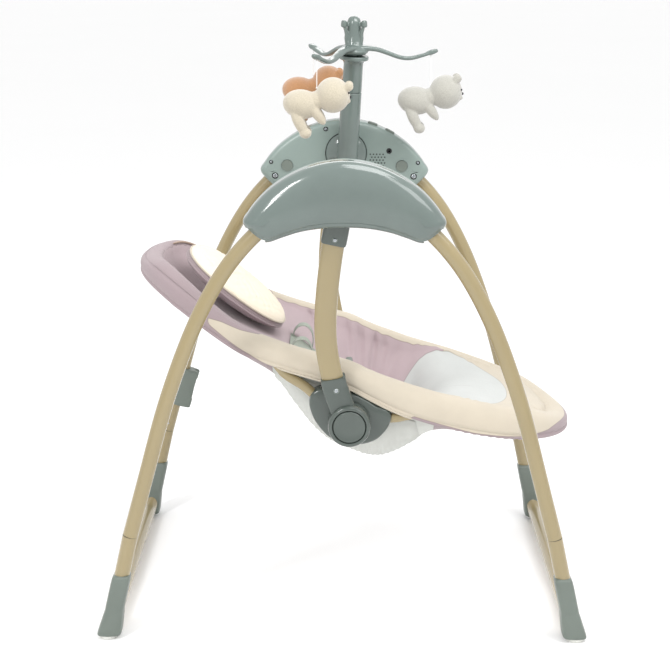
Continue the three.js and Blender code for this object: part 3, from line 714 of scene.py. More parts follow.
def build_housings():
    """Both housings: each half is a crescent drawn in to its middle line, less the swing arm's
    mouth, the leg slots, the button wells and the screw, speaker and socket holes."""
    finish = FINISHES["gloss"]
    mouth = box_mesh((-6, 255, 674), (108, 42, 72))
    shell = Shape().grid(placed(moulded_half(SHELL_ROWS, 1.0))).mesh("shell")
    shell = carved(shell, [mouth, *leg_slots()])
    near_shell = flipped(shell)
    finished("near_shell", near_shell, finish, "housings", ["near_housing_shell"], 35)
    door_hole = box_mesh((0, 313, 738), (76, 4.4, 40))
    far_shell = carved(shell, [door_hole])
    finished("far_shell", far_shell, finish, "housings", ["far_housing_shell"], 35)
    plain = Shape().grid(placed(moulded_half(COVER_ROWS, 0.0))).mesh("cover")
    wells = [drum_mesh(10.9, 240, 262.2, side * 107, 706) for side in (-1, 1)]
    wells += [drum_mesh(radius + 1.6, 240, 252.6, x, z, 32) for x, z, radius in COVER_SCREWS]
    plain = carved(plain, [mouth, *leg_slots(), *wells])
    # Both covers take the lightened sage, painted light.
    finished("near_cover", flipped(plain), FINISHES["cover"], "housings",
             ["near_housing_cover"], 35)
    slots = [drum_mesh(1.5, 240, 253, 60 + x, 717 + z, 12) for x, z in SPEAKER_SLOTS]
    holes = [drum_mesh(39.2, 240, 251.6, 3, 730, 96), drum_mesh(5.3, 240, 262, 83, 734, 40), *slots]
    holes += [box_mesh(key_centre(x, tilt), (18.8, 12.8, 24), tilt) for x, tilt in BUTTON_TILTS]
    finished("far_cover", carved(plain, holes), FINISHES["cover"], "housings",
             ["far_housing_cover"], 35)

    dark = Shape()
    bright = Shape()
    for _, sign in SIDES:
        for x, z, radius in COVER_SCREWS:
            dark.grid(placed(lathe_y(cap_rows(radius + 1.5, 252.2, 252.5, 0.1), x, z, sign, 32)),
                      cap_first=True, cap_last=True)
            screw(bright, x, 252.2, z, radius, sign)
    for x, z in SPEAKER_SLOTS:
        dark.grid(placed(lathe_y(cap_rows(1.45, 251.2, 251.6, 0.1), 60 + x, 717 + z, 1, 12)),
                  cap_first=True, cap_last=True)
    dark.grid(placed(lathe_y(ring_rows(20, 38.9, 251.2, 251.4, 0.05), 3, 730, 1, 96)), loop=True)
    finished("screw_recesses", dark.mesh("screw_recesses"), FINISHES["dark"], "housings")
    finished("cover_screws", bright.mesh("cover_screws"), FINISHES["chrome"], "housings")
    socket = Shape().grid(placed(lathe_y([(2.2, 266), (2.2, 250.4), (2.6, 249.9), (4.6, 249.9), (5.0, 250.4),
                                          (5.0, 266)], 83, 734)), loop=True)
    finished("mains_socket", socket.mesh("mains_socket"), FINISHES["black"], "housings",
             ["power_socket"])




def build_buttons():
    """Round leg buttons with a dished face, and the two soft-edged keys on the far top edge."""
    for side, sign in SIDES:
        for end, way in ENDS:
            cap = lathe_y(cap_rows(9.5, 258, 248, -1.0, -0.5), way * 107, 706, sign)
            mesh = Shape().grid(placed(cap), cap_first=True, cap_last=True).mesh("leg_button")
            finished(f"{side}_{end}_leg_button", mesh, FINISHES["satin"], f"{side}_{end}_fold_button_body",
                     [f"{side}_{end}_fold_button"])
    for name, (x, tilt) in zip(("music", "power"), BUTTON_TILTS):
        ring = oval(9.0, 6.0, 48, 5.0)
        rows = [(0.02, -4.5), (1.0, -4.5), (1.0, 3.4), (0.97, 4.2), (0.88, 4.5), (0.5, 4.7), (0.02, 4.7)]
        points = np.stack([np.column_stack([ring * share, np.full(48, rise)]) for share, rise in rows])
        turn = np.array(Matrix.Rotation(tilt, 3, "Y"))
        key = Shape().grid(placed(points @ turn.T + key_centre(x, tilt)), cap_first=True, cap_last=True)
        finished(f"{name}_key", key.mesh(f"{name}_key"), FINISHES["satin"], f"{name}_button_body",
                 [f"{name}_button"])


# ---------------------------------------------------------------- frame: legs, base tubes and feet
LEG_LINE = [(113, 700), (129.5, 686.5), (149, 668), (180, 633), (211, 580), (239, 524), (263, 460),
            (286.5, 393), (309, 309), (344.8, 177.9)]
FOOT_X, LEG_Y, SEAM_X, SEAM_Z, TUBE_RADIUS = 385, 285, 345, 177, 12.5
LEG_SLOPE = math.atan2(FOOT_X - SEAM_X, SEAM_Z)


def base_tube_line():
    """The base tube's middle line: up, a round corner, across the floor, a corner and up."""
    rise, low, bend = SEAM_Z / math.cos(LEG_SLOPE), 22 / math.cos(LEG_SLOPE), 46
    corner = LEG_Y - bend
    t = np.linspace(0, math.pi / 2, 14)
    first = np.column_stack([-corner - bend * np.cos(t), low + bend - bend * np.sin(t)])
    flat = np.column_stack([np.linspace(-corner, corner, 40)[1:-1], np.full(38, low)])
    second = np.column_stack([corner + bend * np.sin(t), low + bend - bend * np.cos(t)])
    up = np.linspace(low + bend, rise, 14)[1:]
    left = np.column_stack([np.full(13, -float(LEG_Y)), up[::-1]])
    right = np.column_stack([np.full(13, float(LEG_Y)), up])
    yz = np.concatenate([left, first, flat, second, right])
    return np.column_stack([np.zeros(len(yz)), yz])


def tilted(points, way):
    """From the base tube's own upright plane to the front or rear frame."""
    turn = np.array(Matrix.Rotation(-LEG_SLOPE, 3, "Y"))
    points = points @ turn.T + np.array([FOOT_X, 0, 0])
    return points * np.array([way, 1, 1])


def build_legs():
    """Leg tubes and base tubes: a round section carried along its line, with the dark seam where
    the two meet and the steel snap studs beside it."""
    ring = oval(TUBE_RADIUS, TUBE_RADIUS, 40)
    for end, way in ENDS:
        body = f"{end}_frame"
        line = eased(spline(LEG_LINE, 110), 120)
        path = np.column_stack([way * line[:, 0], np.full(110, float(LEG_Y)), line[:, 1]])
        tube = Shape().grid(placed(carry(ring, path, (0, 1, 0))), cap_first=True, cap_last=True).mesh("leg")
        both_sides(f"{end}_leg_tube", tube, FINISHES["paint"], body,
                   ["{side}_" + end + "_leg"])
        line = tilted(base_tube_line(), way)
        base = Shape().grid(placed(carry(ring, line, (1, 0, 0.2))), cap_first=True, cap_last=True)
        finished(f"{end}_cross_tube", base.mesh("cross_tube"), FINISHES["paint"], body,
                 [f"{end}_base_tube"])
        seam = np.array([way * SEAM_X, LEG_Y, SEAM_Z + 0.3])
        slope = np.array([way * math.sin(LEG_SLOPE), 0, -math.cos(LEG_SLOPE)])
        ends = np.stack([seam - slope * 0.3, seam + slope * 0.3])
        gap = Shape().grid(placed(carry(oval(12.3, 12.3, 40), ends, (0, 1, 0))), cap_first=True,
                           cap_last=True)
        both_sides(f"{end}_tube_seam", gap.mesh("seam"), FINISHES["dark"], body, [])
        stud = Shape()
        for depth in (16, 30):
            place = seam - slope * depth
            rows = [(0.05, 10.6), (2.6, 10.6), (2.6, 13.0), (2.2, 13.7), (1.0, 14.0), (0.05, 14.1)]
            inner = turned(rows, 24, "z") @ np.array(inward_turn(way)).T + place
            stud.grid(placed(inner if depth == 30 else side_stud(place)), cap_first=True, cap_last=True)
        both_sides(f"{end}_snap_studs", stud.mesh("stud"), FINISHES["steel"], body, [])


def inward_turn(way):
    """Turns +Z towards the middle of the swing, along the floor."""
    return Matrix.Rotation(-way * math.radians(90), 3, "Y")


def side_stud(place):
    """A small stud on the inner side of a leg tube: a turned profile about an axis along Y."""
    return turned([(0.05, -10.6), (1.6, -10.6), (1.6, -12.4), (1.2, -12.7), (0.05, -12.8)], 20, "y") + place


def build_feet():
    """Boots: boxy rings along the leg's slope that narrow, then flare to the floor; and the pads."""
    heights = np.array([111, 110.4, 108, 104, 98, 85, 70, 56, 45, 34, 22, 12, 8.5, 6.6, 6.3])
    half_x = np.array([9.0, 12.0, 14.0, 14.9, 15.2, 15.4, 15.4, 15.6, 16.2, 17.4, 18.8, 19.7, 19.7, 19.0,
                       17.5])
    high_y = np.array([296, 299, 301.5, 302.6, 303, 303, 303, 303, 303, 303, 303, 303, 302.6, 301.5, 300])
    low_y = np.array([272, 269, 267, 266, 265, 264, 263, 262, 262, 262, 262, 262, 262.4, 263.5, 265])
    keys = np.linspace(0, 1, len(heights))
    fine = np.linspace(0, 1, 90)
    z, hx = np.interp(fine, keys, heights), np.interp(fine, keys, half_x)
    y1, y0 = np.interp(fine, keys, high_y), np.interp(fine, keys, low_y)
    ring = oval(1, 1, 72, 4.5)
    x = FOOT_X - z * math.tan(LEG_SLOPE)
    crease = 1 - 0.03 * bump(z, 50, 5)
    points = np.stack([x[:, None] + hx[:, None] * crease[:, None] * ring[:, 0],
                       (y0 + y1)[:, None] / 2 + (y1 - y0)[:, None] / 2 * crease[:, None] * ring[:, 1],
                       np.broadcast_to(z[:, None], (90, 72))], axis=-1)
    for end, way in ENDS:
        turned_points = points * np.array([way, 1, 1])
        boot = Shape().grid(placed(turned_points), cap_first=True, cap_last=True).mesh("boot")
        both_sides(f"{end}_boot", boot, FINISHES["satin"], f"{end}_frame",
                   ["{side}_" + end + "_foot"], 60)
        t = np.linspace(0, 2 * math.pi, 96, endpoint=False)
        tread = 0.8 * (np.cos(18 * t) > 0.2)
        rows = []
        for radius, height, grip in ((0.1, 0, 0), (14.4, 0, 0), (15.4, 0.6, 1), (16, 1.4, 1), (16, 4.4, 1),
                                     (15.6, 5.6, 0), (0.1, 6.1, 0)):
            r = radius - grip * tread
            rows.append(np.stack([way * FOOT_X + r * np.cos(t), LEG_Y + r * np.sin(t), np.full(96, height)],
                                 -1))
        pad = Shape().grid(placed(np.stack(rows)), cap_first=True, cap_last=True).mesh("pad")
        both_sides(f"{end}_floor_pad", pad, FINISHES["rubber"], f"{end}_frame",
                   ["{side}_" + end + "_pad"], 50)


def build_leg_clip():
    """The storage clip: a sleeve round the far rear leg with two claws that open to the front."""
    turn = np.array(Matrix.Rotation(math.radians(15.2), 3, "Y"))
    centre = np.array([-316.5, 285, 268])
    half = [(-15, 8), (-15.8, 0), (-15, -8), (-8, -14), (2, -16), (12, -15.4), (20, -13.6), (25, -12.4),
            (27.6, -10.4), (27.4, -8.4), (24, -7.6), (21, -5.4), (19.4, 0)]
    outline = spline(half + [(x, -y) for x, y in half[-2:2:-1]], 160, closed=True)
    heights = [(-38.5, 0.80), (-37.5, 0.93), (-35, 1.0), (-26, 1.0), (-22, 0.93), (0, 0.9), (22, 0.93),
               (26, 1.0), (34, 1.0), (36.5, 0.93), (37.5, 0.8)]
    middle = np.array([8.0, 0.0])
    rings = [np.column_stack([middle + (outline - middle) * share, np.full(160, z)]) for z, share in heights]
    points = np.stack(rings) @ turn.T + centre
    clip = Shape().grid(placed(points), cap_first=True, cap_last=True).mesh("clip")
    finished("storage_clip", clip, FINISHES["satin"], "rear_frame", ["leg_clip"], 50)


# ---------------------------------------------------------------- swing arms, hubs and brackets
HANGER_LINE = [(-14, 675), (-17.5, 656), (-23, 615), (-27.5, 570), (-29.8, 527), (-28.6, 484), (-23.6, 452),
               (-17.5, 424), (-12.5, 405)]
HANGER_LEAN = math.atan2(262 - 212, 730 - 400)
PIVOT_Z, HUB = 730, (10, 348)


def leaned(points):
    """(X, Z) on the arm's own plane to the place of the far arm, which leans in as it goes down."""
    points = np.asarray(points, float)
    depth = points[:, 1] - 730
    return np.column_stack([points[:, 0], 262 + depth * math.tan(HANGER_LEAN), points[:, 1]])


def build_arms():
    """Swing arms: an oval tube carried along the hanger's leaning line, its square sleeve and collar,
    the turned hub with its groove and recline cap, and the screws."""
    paint = FINISHES["paint"]
    side = (0, math.cos(HANGER_LEAN), math.sin(HANGER_LEAN))
    line = leaned(eased(spline(HANGER_LINE, 90)))
    tube = Shape().grid(placed(carry(oval(18, 10, 56, 2.3), line, side)), cap_first=True, cap_last=True)
    both_sides("arm_tube", tube.mesh("arm"), paint, "swing_arms", ["{side}_hanger_tube"])

    sleeve_line = leaned(spline([(-10.4, 697), (-12, 686), (-14.2, 672), (-17.2, 656.4)], 30))
    swell = np.concatenate([np.full(27, 1.0), [0.995, 0.985, 0.95]])[:, None, None]
    sleeve = Shape().grid(placed(carry(oval(20.6, 13, 64, 5.0)[None] * swell, sleeve_line, side)),
                          cap_first=True, cap_last=True)
    sleeve.grid(placed(lathe_y(cap_rows(22, 256.4, 269.6, 1.5), 0, PIVOT_Z)), cap_first=True, cap_last=True)
    # The socket, hub and recline cap take the darkened sage, painted shade.
    both_sides("arm_socket", sleeve.mesh("socket"), FINISHES["deep"], "swing_arms",
               ["{side}_hanger_socket"])

    collar_line = leaned(spline([(-17.3, 428), (-15.5, 418), (-11, 402), (-4, 382), (6, 356)], 40))
    collar_line[:, 1] = np.maximum(collar_line[:, 1], 213.6)
    wide = np.interp(np.linspace(0, 1, 40), [0, 0.03, 0.08, 0.5, 1], [0.95, 0.985, 1.0, 1.0,
                                                                      1.0])[:, None, None]
    collar = Shape().grid(placed(carry(oval(20.8, 13.4, 64, 5.5)[None] * wide, collar_line, side)),
                          cap_first=True, cap_last=True)
    drum = [(0.05, 200), (33, 200), (34.4, 200.6), (35, 202), (35, 228), (34.7, 231.5), (33.6, 234.2),
            (31.6, 235.9), (29.6, 236.2), (28.2, 235.6), (27.5, 234), (27.4, 227), (0.05, 227)]
    collar.grid(placed(lathe_y(drum, *HUB, 1, 96)), cap_first=True, cap_last=True)
    both_sides("arm_hub", collar.mesh("hub"), FINISHES["deep"], "swing_arms", ["{side}_hub"])
    groove = Shape().grid(placed(lathe_y(ring_rows(24.5, 27.38, 227.0, 227.3, 0.05), *HUB, 1, 96)), loop=True)
    both_sides("hub_groove", groove.mesh("groove"), FINISHES["dark"], "swing_arms", [])
    cap_profile = [(0.05, 229.5), (26.6, 229.5), (26.6, 234.4), (26.2, 235.8), (25.2, 236.5), (23.6, 236.2),
                   (22.9, 235.9), (10, 236.3), (0.05, 236.4)]
    cap = Shape().grid(placed(lathe_y(cap_profile, *HUB, 1, 96)), cap_first=True, cap_last=True)
    both_sides("recline_cap", cap.mesh("cap"), FINISHES["deep"], "{side}_recline_button_body",
               ["{side}_recline_button"])
    for name, place, radius in (("socket_screw", (-15, 664), 4.2), ("hub_screw", (-11.5, 407), 4.4)):
        x, z = place
        y = 262 + (z - PIVOT_Z) * math.tan(HANGER_LEAN)
        ball, rim = Shape(), Shape()
        for way in (1,) if name == "hub_screw" else (-1, 1):
            face = 13.05 if name == "socket_screw" else 13.6
            rows = [(0.05, face - 1), (radius * 0.7, face - 1), (radius * 0.78, face + 0.4),
                    (radius * 0.5, face + 1.6), (0.05, face + 2.0)]
            edge = ring_rows(radius * 0.72, radius * 1.12, face - 1, face + 0.5, 0.35)
            for target, profile, loop in ((ball, rows, False), (rim, edge, True)):
                points = turned(profile, 40, "y") * np.array([1, way, 1])
                target.grid(placed(points + np.array([x, y, z])), loop=loop, cap_first=not loop,
                            cap_last=not loop)
        both_sides(name, ball.mesh(name), FINISHES["chrome"], "swing_arms", [])
        both_sides(name + "_rim", rim.mesh(name), FINISHES["satin"], "swing_arms", [])


BRACKET_OUTLINE = [(-42, 401), (-53, 393), (-57, 376), (-52, 355), (-40, 334), (-24, 317), (-6, 307),
                   (14, 303.5), (36, 305), (56, 313), (70, 327), (79, 345), (80, 358), (72, 367), (56, 373),
                   (40, 384), (22, 393), (4, 397), (-18, 400.5), (-32, 402.5)]


def build_brackets():
    """Seat brackets: the lobe's outline drawn in to its middle line, at rising heights."""
    outline = two_sided(BRACKET_OUTLINE, (-50, 396), (80, 352), 240)
    rows = [(0, 173.5), (1.0, 173.5), (1.0, 184), (0.985, 190), (0.94, 194.4), (0.84, 197), (0.6, 198.3),
            (0, 198.4)]
    middle = [(-38, 384), (-22, 362), (6, 350), (34, 348), (60, 347)]
    flat, height, *_ = drawn_in(outline, middle, np.concatenate([[(0, 173.5)], spline(rows[1:], 40)]))
    front = np.stack([flat[..., 0], height, flat[..., 1]], axis=-1)
    bracket = Shape().grid(placed(front))
    # The lobes take the darkened sage, painted shade.
    both_sides("seat_lobe", bracket.mesh("bracket"), FINISHES["deep"], "seat",
               ["{side}_seat_bracket"])


# ---------------------------------------------------------------- seat: shape lines
HEAD_TIP, HEAD_FROM, FOOT_FROM, FOOT_TIP, HALF_WIDTH = -351, -150, 130, 397, 194
TUBE_HEIGHT = [(-351, 580), (-315, 565), (-268, 538), (-215, 503), (-161, 470), (-100, 448), (-36, 429),
               (12, 414), (46, 396), (80, 379), (120, 363), (168, 349), (259, 326), (330, 312), (397, 301)]
RIM_RISE = [(-351, 13), (-320, 24), (-210, 28), (-56, 25), (40, 30), (107, 36), (291, 36), (343, 31),
            (397, 13)]
SEAT_DEPTH = [(-351, 14), (-300, 24), (-200, 34), (-118, 60), (-83, 104), (-52, 140), (-22, 159), (17, 164),
              (60, 150), (93, 122), (114, 98), (134, 76), (160, 52), (200, 36), (300, 28), (397, 14)]
LINER_FLOOR = [(-230, 513), (-200, 496), (-150, 468), (-100, 434), (-66, 402), (-30, 362), (0, 315),
               (20, 284), (45, 266), (75, 262), (100, 276), (125, 302), (150, 332), (180, 349), (225, 352),
               (270, 345)]
OUTLINE_COUNT = 560


def half_width(x):
    """Straight sides of half the seat's width, and two ends that round off by powers 2.6 and 2.2."""
    head = np.clip((HEAD_FROM - x) / (HEAD_FROM - HEAD_TIP), 0, 1)
    foot = np.clip((x - FOOT_FROM) / (FOOT_TIP - FOOT_FROM), 0, 1)
    return HALF_WIDTH * np.sqrt(np.maximum(1 - head**2.6 - foot**2.2, 0))


def seat_outline():
    """The seat's plan outline by even steps, far side first, and its inward directions."""
    t = np.linspace(0, math.pi, 90)
    x = (HEAD_TIP + FOOT_TIP) / 2 - (FOOT_TIP - HEAD_TIP) / 2 * np.cos(t)
    y = half_width(x)
    ring = np.concatenate([np.column_stack([x, y]), np.column_stack([x, -y])[-2:0:-1]])
    outline = two_sided(ring, (HEAD_TIP, 0), (FOOT_TIP, 0), OUTLINE_COUNT)
    way = unit(np.roll(outline, -1, axis=0) - np.roll(outline, 1, axis=0))
    inward = np.column_stack([way[:, 1], -way[:, 0]])
    inward *= np.sign(np.sum(inward * (np.array([23, 0]) - outline), axis=1))[:, None]
    return outline, inward


# Section of the padded rim: (way in from the outline, fixed height, share of the rim's rise).
RIM_SECTION = [(24, -15, 0), (14, -15.5, 0), (6, -15.5, 0), (1.4, -14.4, 0), (-0.6, -11.6, 0), (0.6, -8.8, 0),
               (1.6, -7.6, 0), (0.2, -5, 0), (-0.2, 0, 0.08), (1.4, 0, 0.36), (6, 0, 0.66), (13, 0, 0.87),
               (21, 0, 0.98), (29, 0, 1.0), (35, 0, 0.88), (38.5, 0, 0.66)]


def pleats(x, drop, side):
    """Gathers of the liner's side walls: narrow valleys that start under the rim and fade out
    downwards, each one leaning a little."""
    total = np.zeros(x.shape)
    for place, lean, width, depth in ((-92, 6, 5, 2.0), (-66, -4, 4, 3.2), (-47, 8, 3, 2.4), (-24, 5, 5, 2.6),
                                      (4, -6, 4, 2.0), (24, 0, 2.2, 2.6), (31, 0, 2.2, 2.2), (58, 18, 4, 4.2),
                                      (76, 30, 6, 3.0), (104, 44, 7, 2.6), (133, 40, 6, 2.0)):
        total -= depth * bump(x, place + side * 3 - lean * drop, width + 5 * drop)
    return 2.1 * total * smoothstep(0.0, 0.1, drop) * smoothstep(1.0, 0.5, drop)


def seat_cover_points():
    """The padded seat as one closed surface: the liner from its bottom line to the inner seam,
    the rim's section carried round the outline, and the underside back to its bottom line.
    Returns the points, and panel distances in metres."""
    outline, inward = seat_outline()
    tube = along(TUBE_HEIGHT, outline[:, 0])
    rise = along(RIM_RISE, outline[:, 0])
    section = spline(RIM_SECTION, 64)
    reach, fixed, share = section.T
    flatter = smoothstep(110, 190, outline[:, 0])[None] * smoothstep(27, 38, reach)[:, None]
    share = share[:, None] * (1 - flatter) + 0.97 * flatter
    rim = np.concatenate([outline[None] + reach[:, None, None] * inward[None],
                          (tube[None] + fixed[:, None] + share * rise[None])[..., None]], axis=-1)
    run = np.concatenate([[0], np.cumsum(np.linalg.norm(np.diff(rim, axis=0), axis=2).mean(1))])
    spine = np.clip(outline[:, 0], -230, 270)
    spine[1:] = (spine[1:] + spine[:0:-1]) / 2
    ups = np.linspace(1, 0, 56)[1:] ** 0.85

    def inner(edge, floor, power, lowest):
        """Rows from an edge to the line below it: plan shares even, heights falling by a power of 1 less
        the share squared."""
        foot = np.column_stack([spine, np.zeros(len(spine))])
        flat = foot[None] + ups[:, None, None] * (edge[:, :2] - foot)[None]
        bottom = along(floor, spine) if lowest is None else along(TUBE_HEIGHT, spine) - along(lowest, spine)
        sink = (1 - ups**2)[:, None] ** power
        return np.concatenate([flat, (edge[:, 2] * (1 - sink) + bottom * sink)[..., None]], axis=-1), sink

    liner, sink = inner(rim[-1], LINER_FLOOR, 0.62, None)
    under, _ = inner(rim[0], None, 0.5, SEAT_DEPTH)
    side = np.sign(liner[..., 1])
    valley = pleats(liner[..., 0], np.broadcast_to(sink, liner.shape[:2]), side)
    wall = smoothstep(120, 60, np.abs(liner[..., 0] - 15)) * 1.0
    wall = np.maximum(wall, 0.35)
    liner[..., 1] -= valley * side * wall * smoothstep(0, 30, np.abs(liner[..., 1]))
    grid = np.concatenate([under[::-1], rim, liner], axis=0)
    rows_under, rows_rim = len(under), len(rim)
    x, y = grid[..., 0], grid[..., 1]

    puff = noise(grid, 120, 5, 2) * 1.2
    seam_near = np.zeros(len(grid))
    seam_near[rows_under:rows_under + rows_rim] = bump(run, run[-1], 9)
    seam_near[rows_under + rows_rim:] = bump(np.arange(len(liner)) * 1.6, 0, 9)
    step = np.arange(OUTLINE_COUNT)
    gather = np.sin(step * 2 * math.pi * 84 / OUTLINE_COUNT + 1.7 * np.sin(step * 0.21))
    gather = gather * (0.6 + 0.4 * np.sin(step * 0.37))
    hem = np.zeros(len(grid))
    hem[rows_under:rows_under + rows_rim] = bump(run, 19, 6)
    ruffle = np.sin(step * 2 * math.pi * 130 / OUTLINE_COUNT)
    ruffled = smoothstep(165, 200, outline[:, 0]) * smoothstep(330, 300, outline[:, 0])
    lift = puff + 1.5 * seam_near[:, None] * gather[None] + 1.2 * hem[:, None] * (ruffle * ruffled)[None]
    soft = np.ones(len(grid))
    soft[:rows_under] = 0.5
    grid[..., 2] += lift * soft[:, None] * 0.8
    outwards = np.concatenate([-inward, np.zeros((OUTLINE_COUNT, 1))], axis=1)[None]
    grid = grid + outwards * (lift * soft[:, None] * 0.5)[..., None]

    ladder = np.concatenate([-np.linspace(60, 0.5, rows_under), run,
                             run[-1] + np.linspace(2, 140, len(liner))])
    v = np.broadcast_to((ladder / run[-1])[:, None], x.shape)
    length = run[-1]
    top_bound = np.interp(x, [-240, -224, -200, -170, -140, -120], [0.45, 0.5, 0.6, 0.68, 0.8, 1.1])
    low_bound = np.interp(x, [-240, -224, -160, -104, 108, 116, 150, 220, 300, 350, 380, 397],
                          [0.45, 0.42, 0.33, 0.19, 0.19, 0.30, 0.30, 0.27, 0.30, 0.40, 0.55, 0.62])
    head = np.maximum(-222 - x, (v - top_bound) * length * (x < -100) - 200 * (x >= -100))
    rim_mauve = np.maximum(head, (low_bound - v) * length) * np.where((x > -100) & (x < 108), -1, 1)
    rim_mauve = np.where((x > -100) & (x < 108), -20, rim_mauve)
    # Where the lightened inner mauve shows, painted light: the liner past the inner seam, up to x = 186.
    inner_mauve_lit = np.minimum(ladder[:, None] - length + 1.0, 186 - x)
    oval_in = (1 - np.sqrt(((x - 181) / 108) ** 2 + (y / 150) ** 2)) * 108
    oval_in = np.minimum(oval_in, ladder[:, None] - length)
    net = np.minimum(-(ladder[:, None]) + 3, np.minimum(x + 118, 152 - x))
    values = dict(rim_mauve=rim_mauve, inner_mauve_lit=inner_mauve_lit, foot_oval=oval_in, net=net)
    return grid, {name: value * MM for name, value in values.items()}, outline, inward, tube, rise


def rim_line(reach, fixed, share, chosen):
    """A line on the padded rim, round the part of the outline that is chosen."""
    outline, inward = seat_outline()
    tube, rise = along(TUBE_HEIGHT, outline[:, 0]), along(RIM_RISE, outline[:, 0])
    line = np.column_stack([outline + reach * inward, tube + fixed + share * rise])
    keep = chosen(outline)
    start = int(np.argmax(keep & ~np.roll(keep, 1))) if not keep.all() else 0
    order = np.roll(np.arange(len(outline)), -start)
    return line[order[: int(keep.sum())]]


def sewn_edge(name, line, radius, finish):
    """Piping: a round edge carried along a line, its ends drawn in."""
    count = len(line)
    fade = np.minimum(np.arange(count), np.arange(count)[::-1]) / 3
    size = np.sqrt(np.clip(fade, 0.05, 1))[:, None, None]
    tube = Shape().grid(placed(carry(oval(radius, radius, 10)[None] * size, line, (0, 0, 1))),
                        cap_first=True, cap_last=True)
    return finished(name, tube.mesh(name), FINISHES[finish], "seat")


def build_seat_tubes():
    """The two bent tubes inside the padded rim, from bracket to bracket round each end."""
    ring = oval(8.5, 8.5, 28)

    outline, inward = seat_outline()
    height = along(TUBE_HEIGHT, outline[:, 0])
    held = np.column_stack([outline + 12.5 * inward, height])[: OUTLINE_COUNT // 2]
    held = held[held[:, 1] > 6]
    back = held[held[:, 0] < -96][::-1]
    back = np.concatenate([[[-32, 184, 372], [-62, 184, 401], [-96, 183, 424]], back[7::7]])
    foot = held[held[:, 0] > 126]
    foot = np.concatenate([[[54, 184, 348], [88, 184, 350], [124, 183, 357]], foot[7::7]])
    for name, half in (("back_rest_tube", back), ("foot_rest_tube", foot)):
        whole = np.concatenate([half, half[::-1] * np.array([1, -1, 1])])
        line = spline(whole, 260)
        tube = Shape().grid(placed(carry(ring, line, (0.1, 0, 1))), cap_first=True, cap_last=True)
        node = "back_tube" if name.startswith("back") else "foot_tube"
        finished(name, tube.mesh(name), FINISHES["paint"], "seat", [node])


def build_seat_cover():
    """The padded cover as one surface, with hems, binding and top stitching carried round its rim."""
    grid, values, *_ = seat_cover_points()
    cover = Shape().grid(placed(grid), **values).mesh("seat_cover")
    piece = finished("seat_cover", cover, FINISHES["seat"], "seat", ["seat_sling"], 0)
    for side, sign in SIDES:
        hem = rim_line(-0.4, -14.6, 0,
                       lambda ring: (ring[:, 0] > -112) & (ring[:, 0] < 118) & (ring[:, 1] * sign > 0))
        sewn_edge(f"{side}_rim_hem", hem, 1.9, "piping")
    fold = rim_line(36.5, 1.5, 0.85,
                    lambda ring: (ring[:, 0] > -338) & (ring[:, 0] < -150) & (ring[:, 1] > 0))
    sewn_edge("far_head_binding", fold, 2.0, "binding")
    for side, sign in SIDES:
        sewn_edge(f"{side}_head_topstitch", rim_line(9, 0, 0.8, lambda ring: (ring[:, 0] < -225)
                                                     & (ring[:, 1] * sign > 0)), 0.55, "mauve")


def build_mesh_bag():
    """The soft net bag under the seat: ribs of net, hung from the rim."""
    x = np.linspace(-114, 148, 160)
    tube, depth = along(TUBE_HEIGHT, x), along(SEAT_DEPTH, x)
    turn = np.linspace(0.05, math.pi - 0.05, 120)
    y = (169 - 40 * smoothstep(118, 150, x))[:, None] * np.cos(turn)[None]
    sink = np.sin(turn) ** 0.9
    z = tube[:, None] - 18 - (depth[:, None] - 16) * sink[None]
    rib = 0.8 * np.sin(x / 9 * 2 * math.pi)[:, None] * sink[None]
    points = np.stack([np.broadcast_to(x[:, None], z.shape), y, z - 1.5 + rib], -1)
    bag = Shape().grid(placed(points), ring=False).mesh("mesh_bag")
    piece = finished("net_bag", bag, FINISHES["mesh"], "seat", (), 0)
    thick = piece.modifiers.new("thickness", "SOLIDIFY")
    thick.thickness, thick.offset = 0.0008, 0


# ---------------------------------------------------------------- seat: cushion and straps
def cushion_points(u, v, w):
    """Points of the head cushion: u down the back, v across, w out of the cushion."""
    turn = np.array(Matrix.Rotation(math.radians(38), 3, "Y"))
    local = np.stack([u, v, w], axis=-1)
    return local @ turn.T + np.array([-189, 0, 528])


CUSHION_ROWS = [(0.0, -16), (0.5, -16), (0.78, -14.5), (0.9, -11), (0.975, -6), (1.0, -1), (1.0, 3.4),
                (0.985, 6.2), (0.99, 7.6), (0.975, 11), (0.93, 15.5), (0.84, 20), (0.66, 24.5), (0.4, 27),
                (0.0, 28)]


def puffed(piece, pressure, most, frames=20):
    """Blows a closed cloth shell up with Blender's cloth, and lets no point move further than most."""
    rest = np.empty(len(piece.data.vertices) * 3)
    piece.data.vertices.foreach_get("co", rest)
    cloth_modifier = piece.modifiers.new("cloth", "CLOTH")
    settings = cloth_modifier.settings
    settings.use_pressure, settings.uniform_pressure_force = True, pressure
    settings.effector_weights.gravity = 0
    settings.quality, settings.mass = 4, 0.3
    settings.tension_stiffness = settings.compression_stiffness = 12
    scene = bpy.context.scene
    for frame_number in range(1, frames + 1):
        scene.frame_set(frame_number)
    graph = bpy.context.evaluated_depsgraph_get()
    moved = np.empty_like(rest)
    piece.evaluated_get(graph).data.vertices.foreach_get("co", moved)
    step = (moved - rest).reshape(-1, 3)
    size = np.linalg.norm(step, axis=1, keepdims=True)
    step *= np.minimum(1, most / np.maximum(size, 1e-9))
    piece.modifiers.clear()
    scene.frame_set(1)
    piece.data.vertices.foreach_set("co", (rest.reshape(-1, 3) + step).ravel())
    piece.data.update()


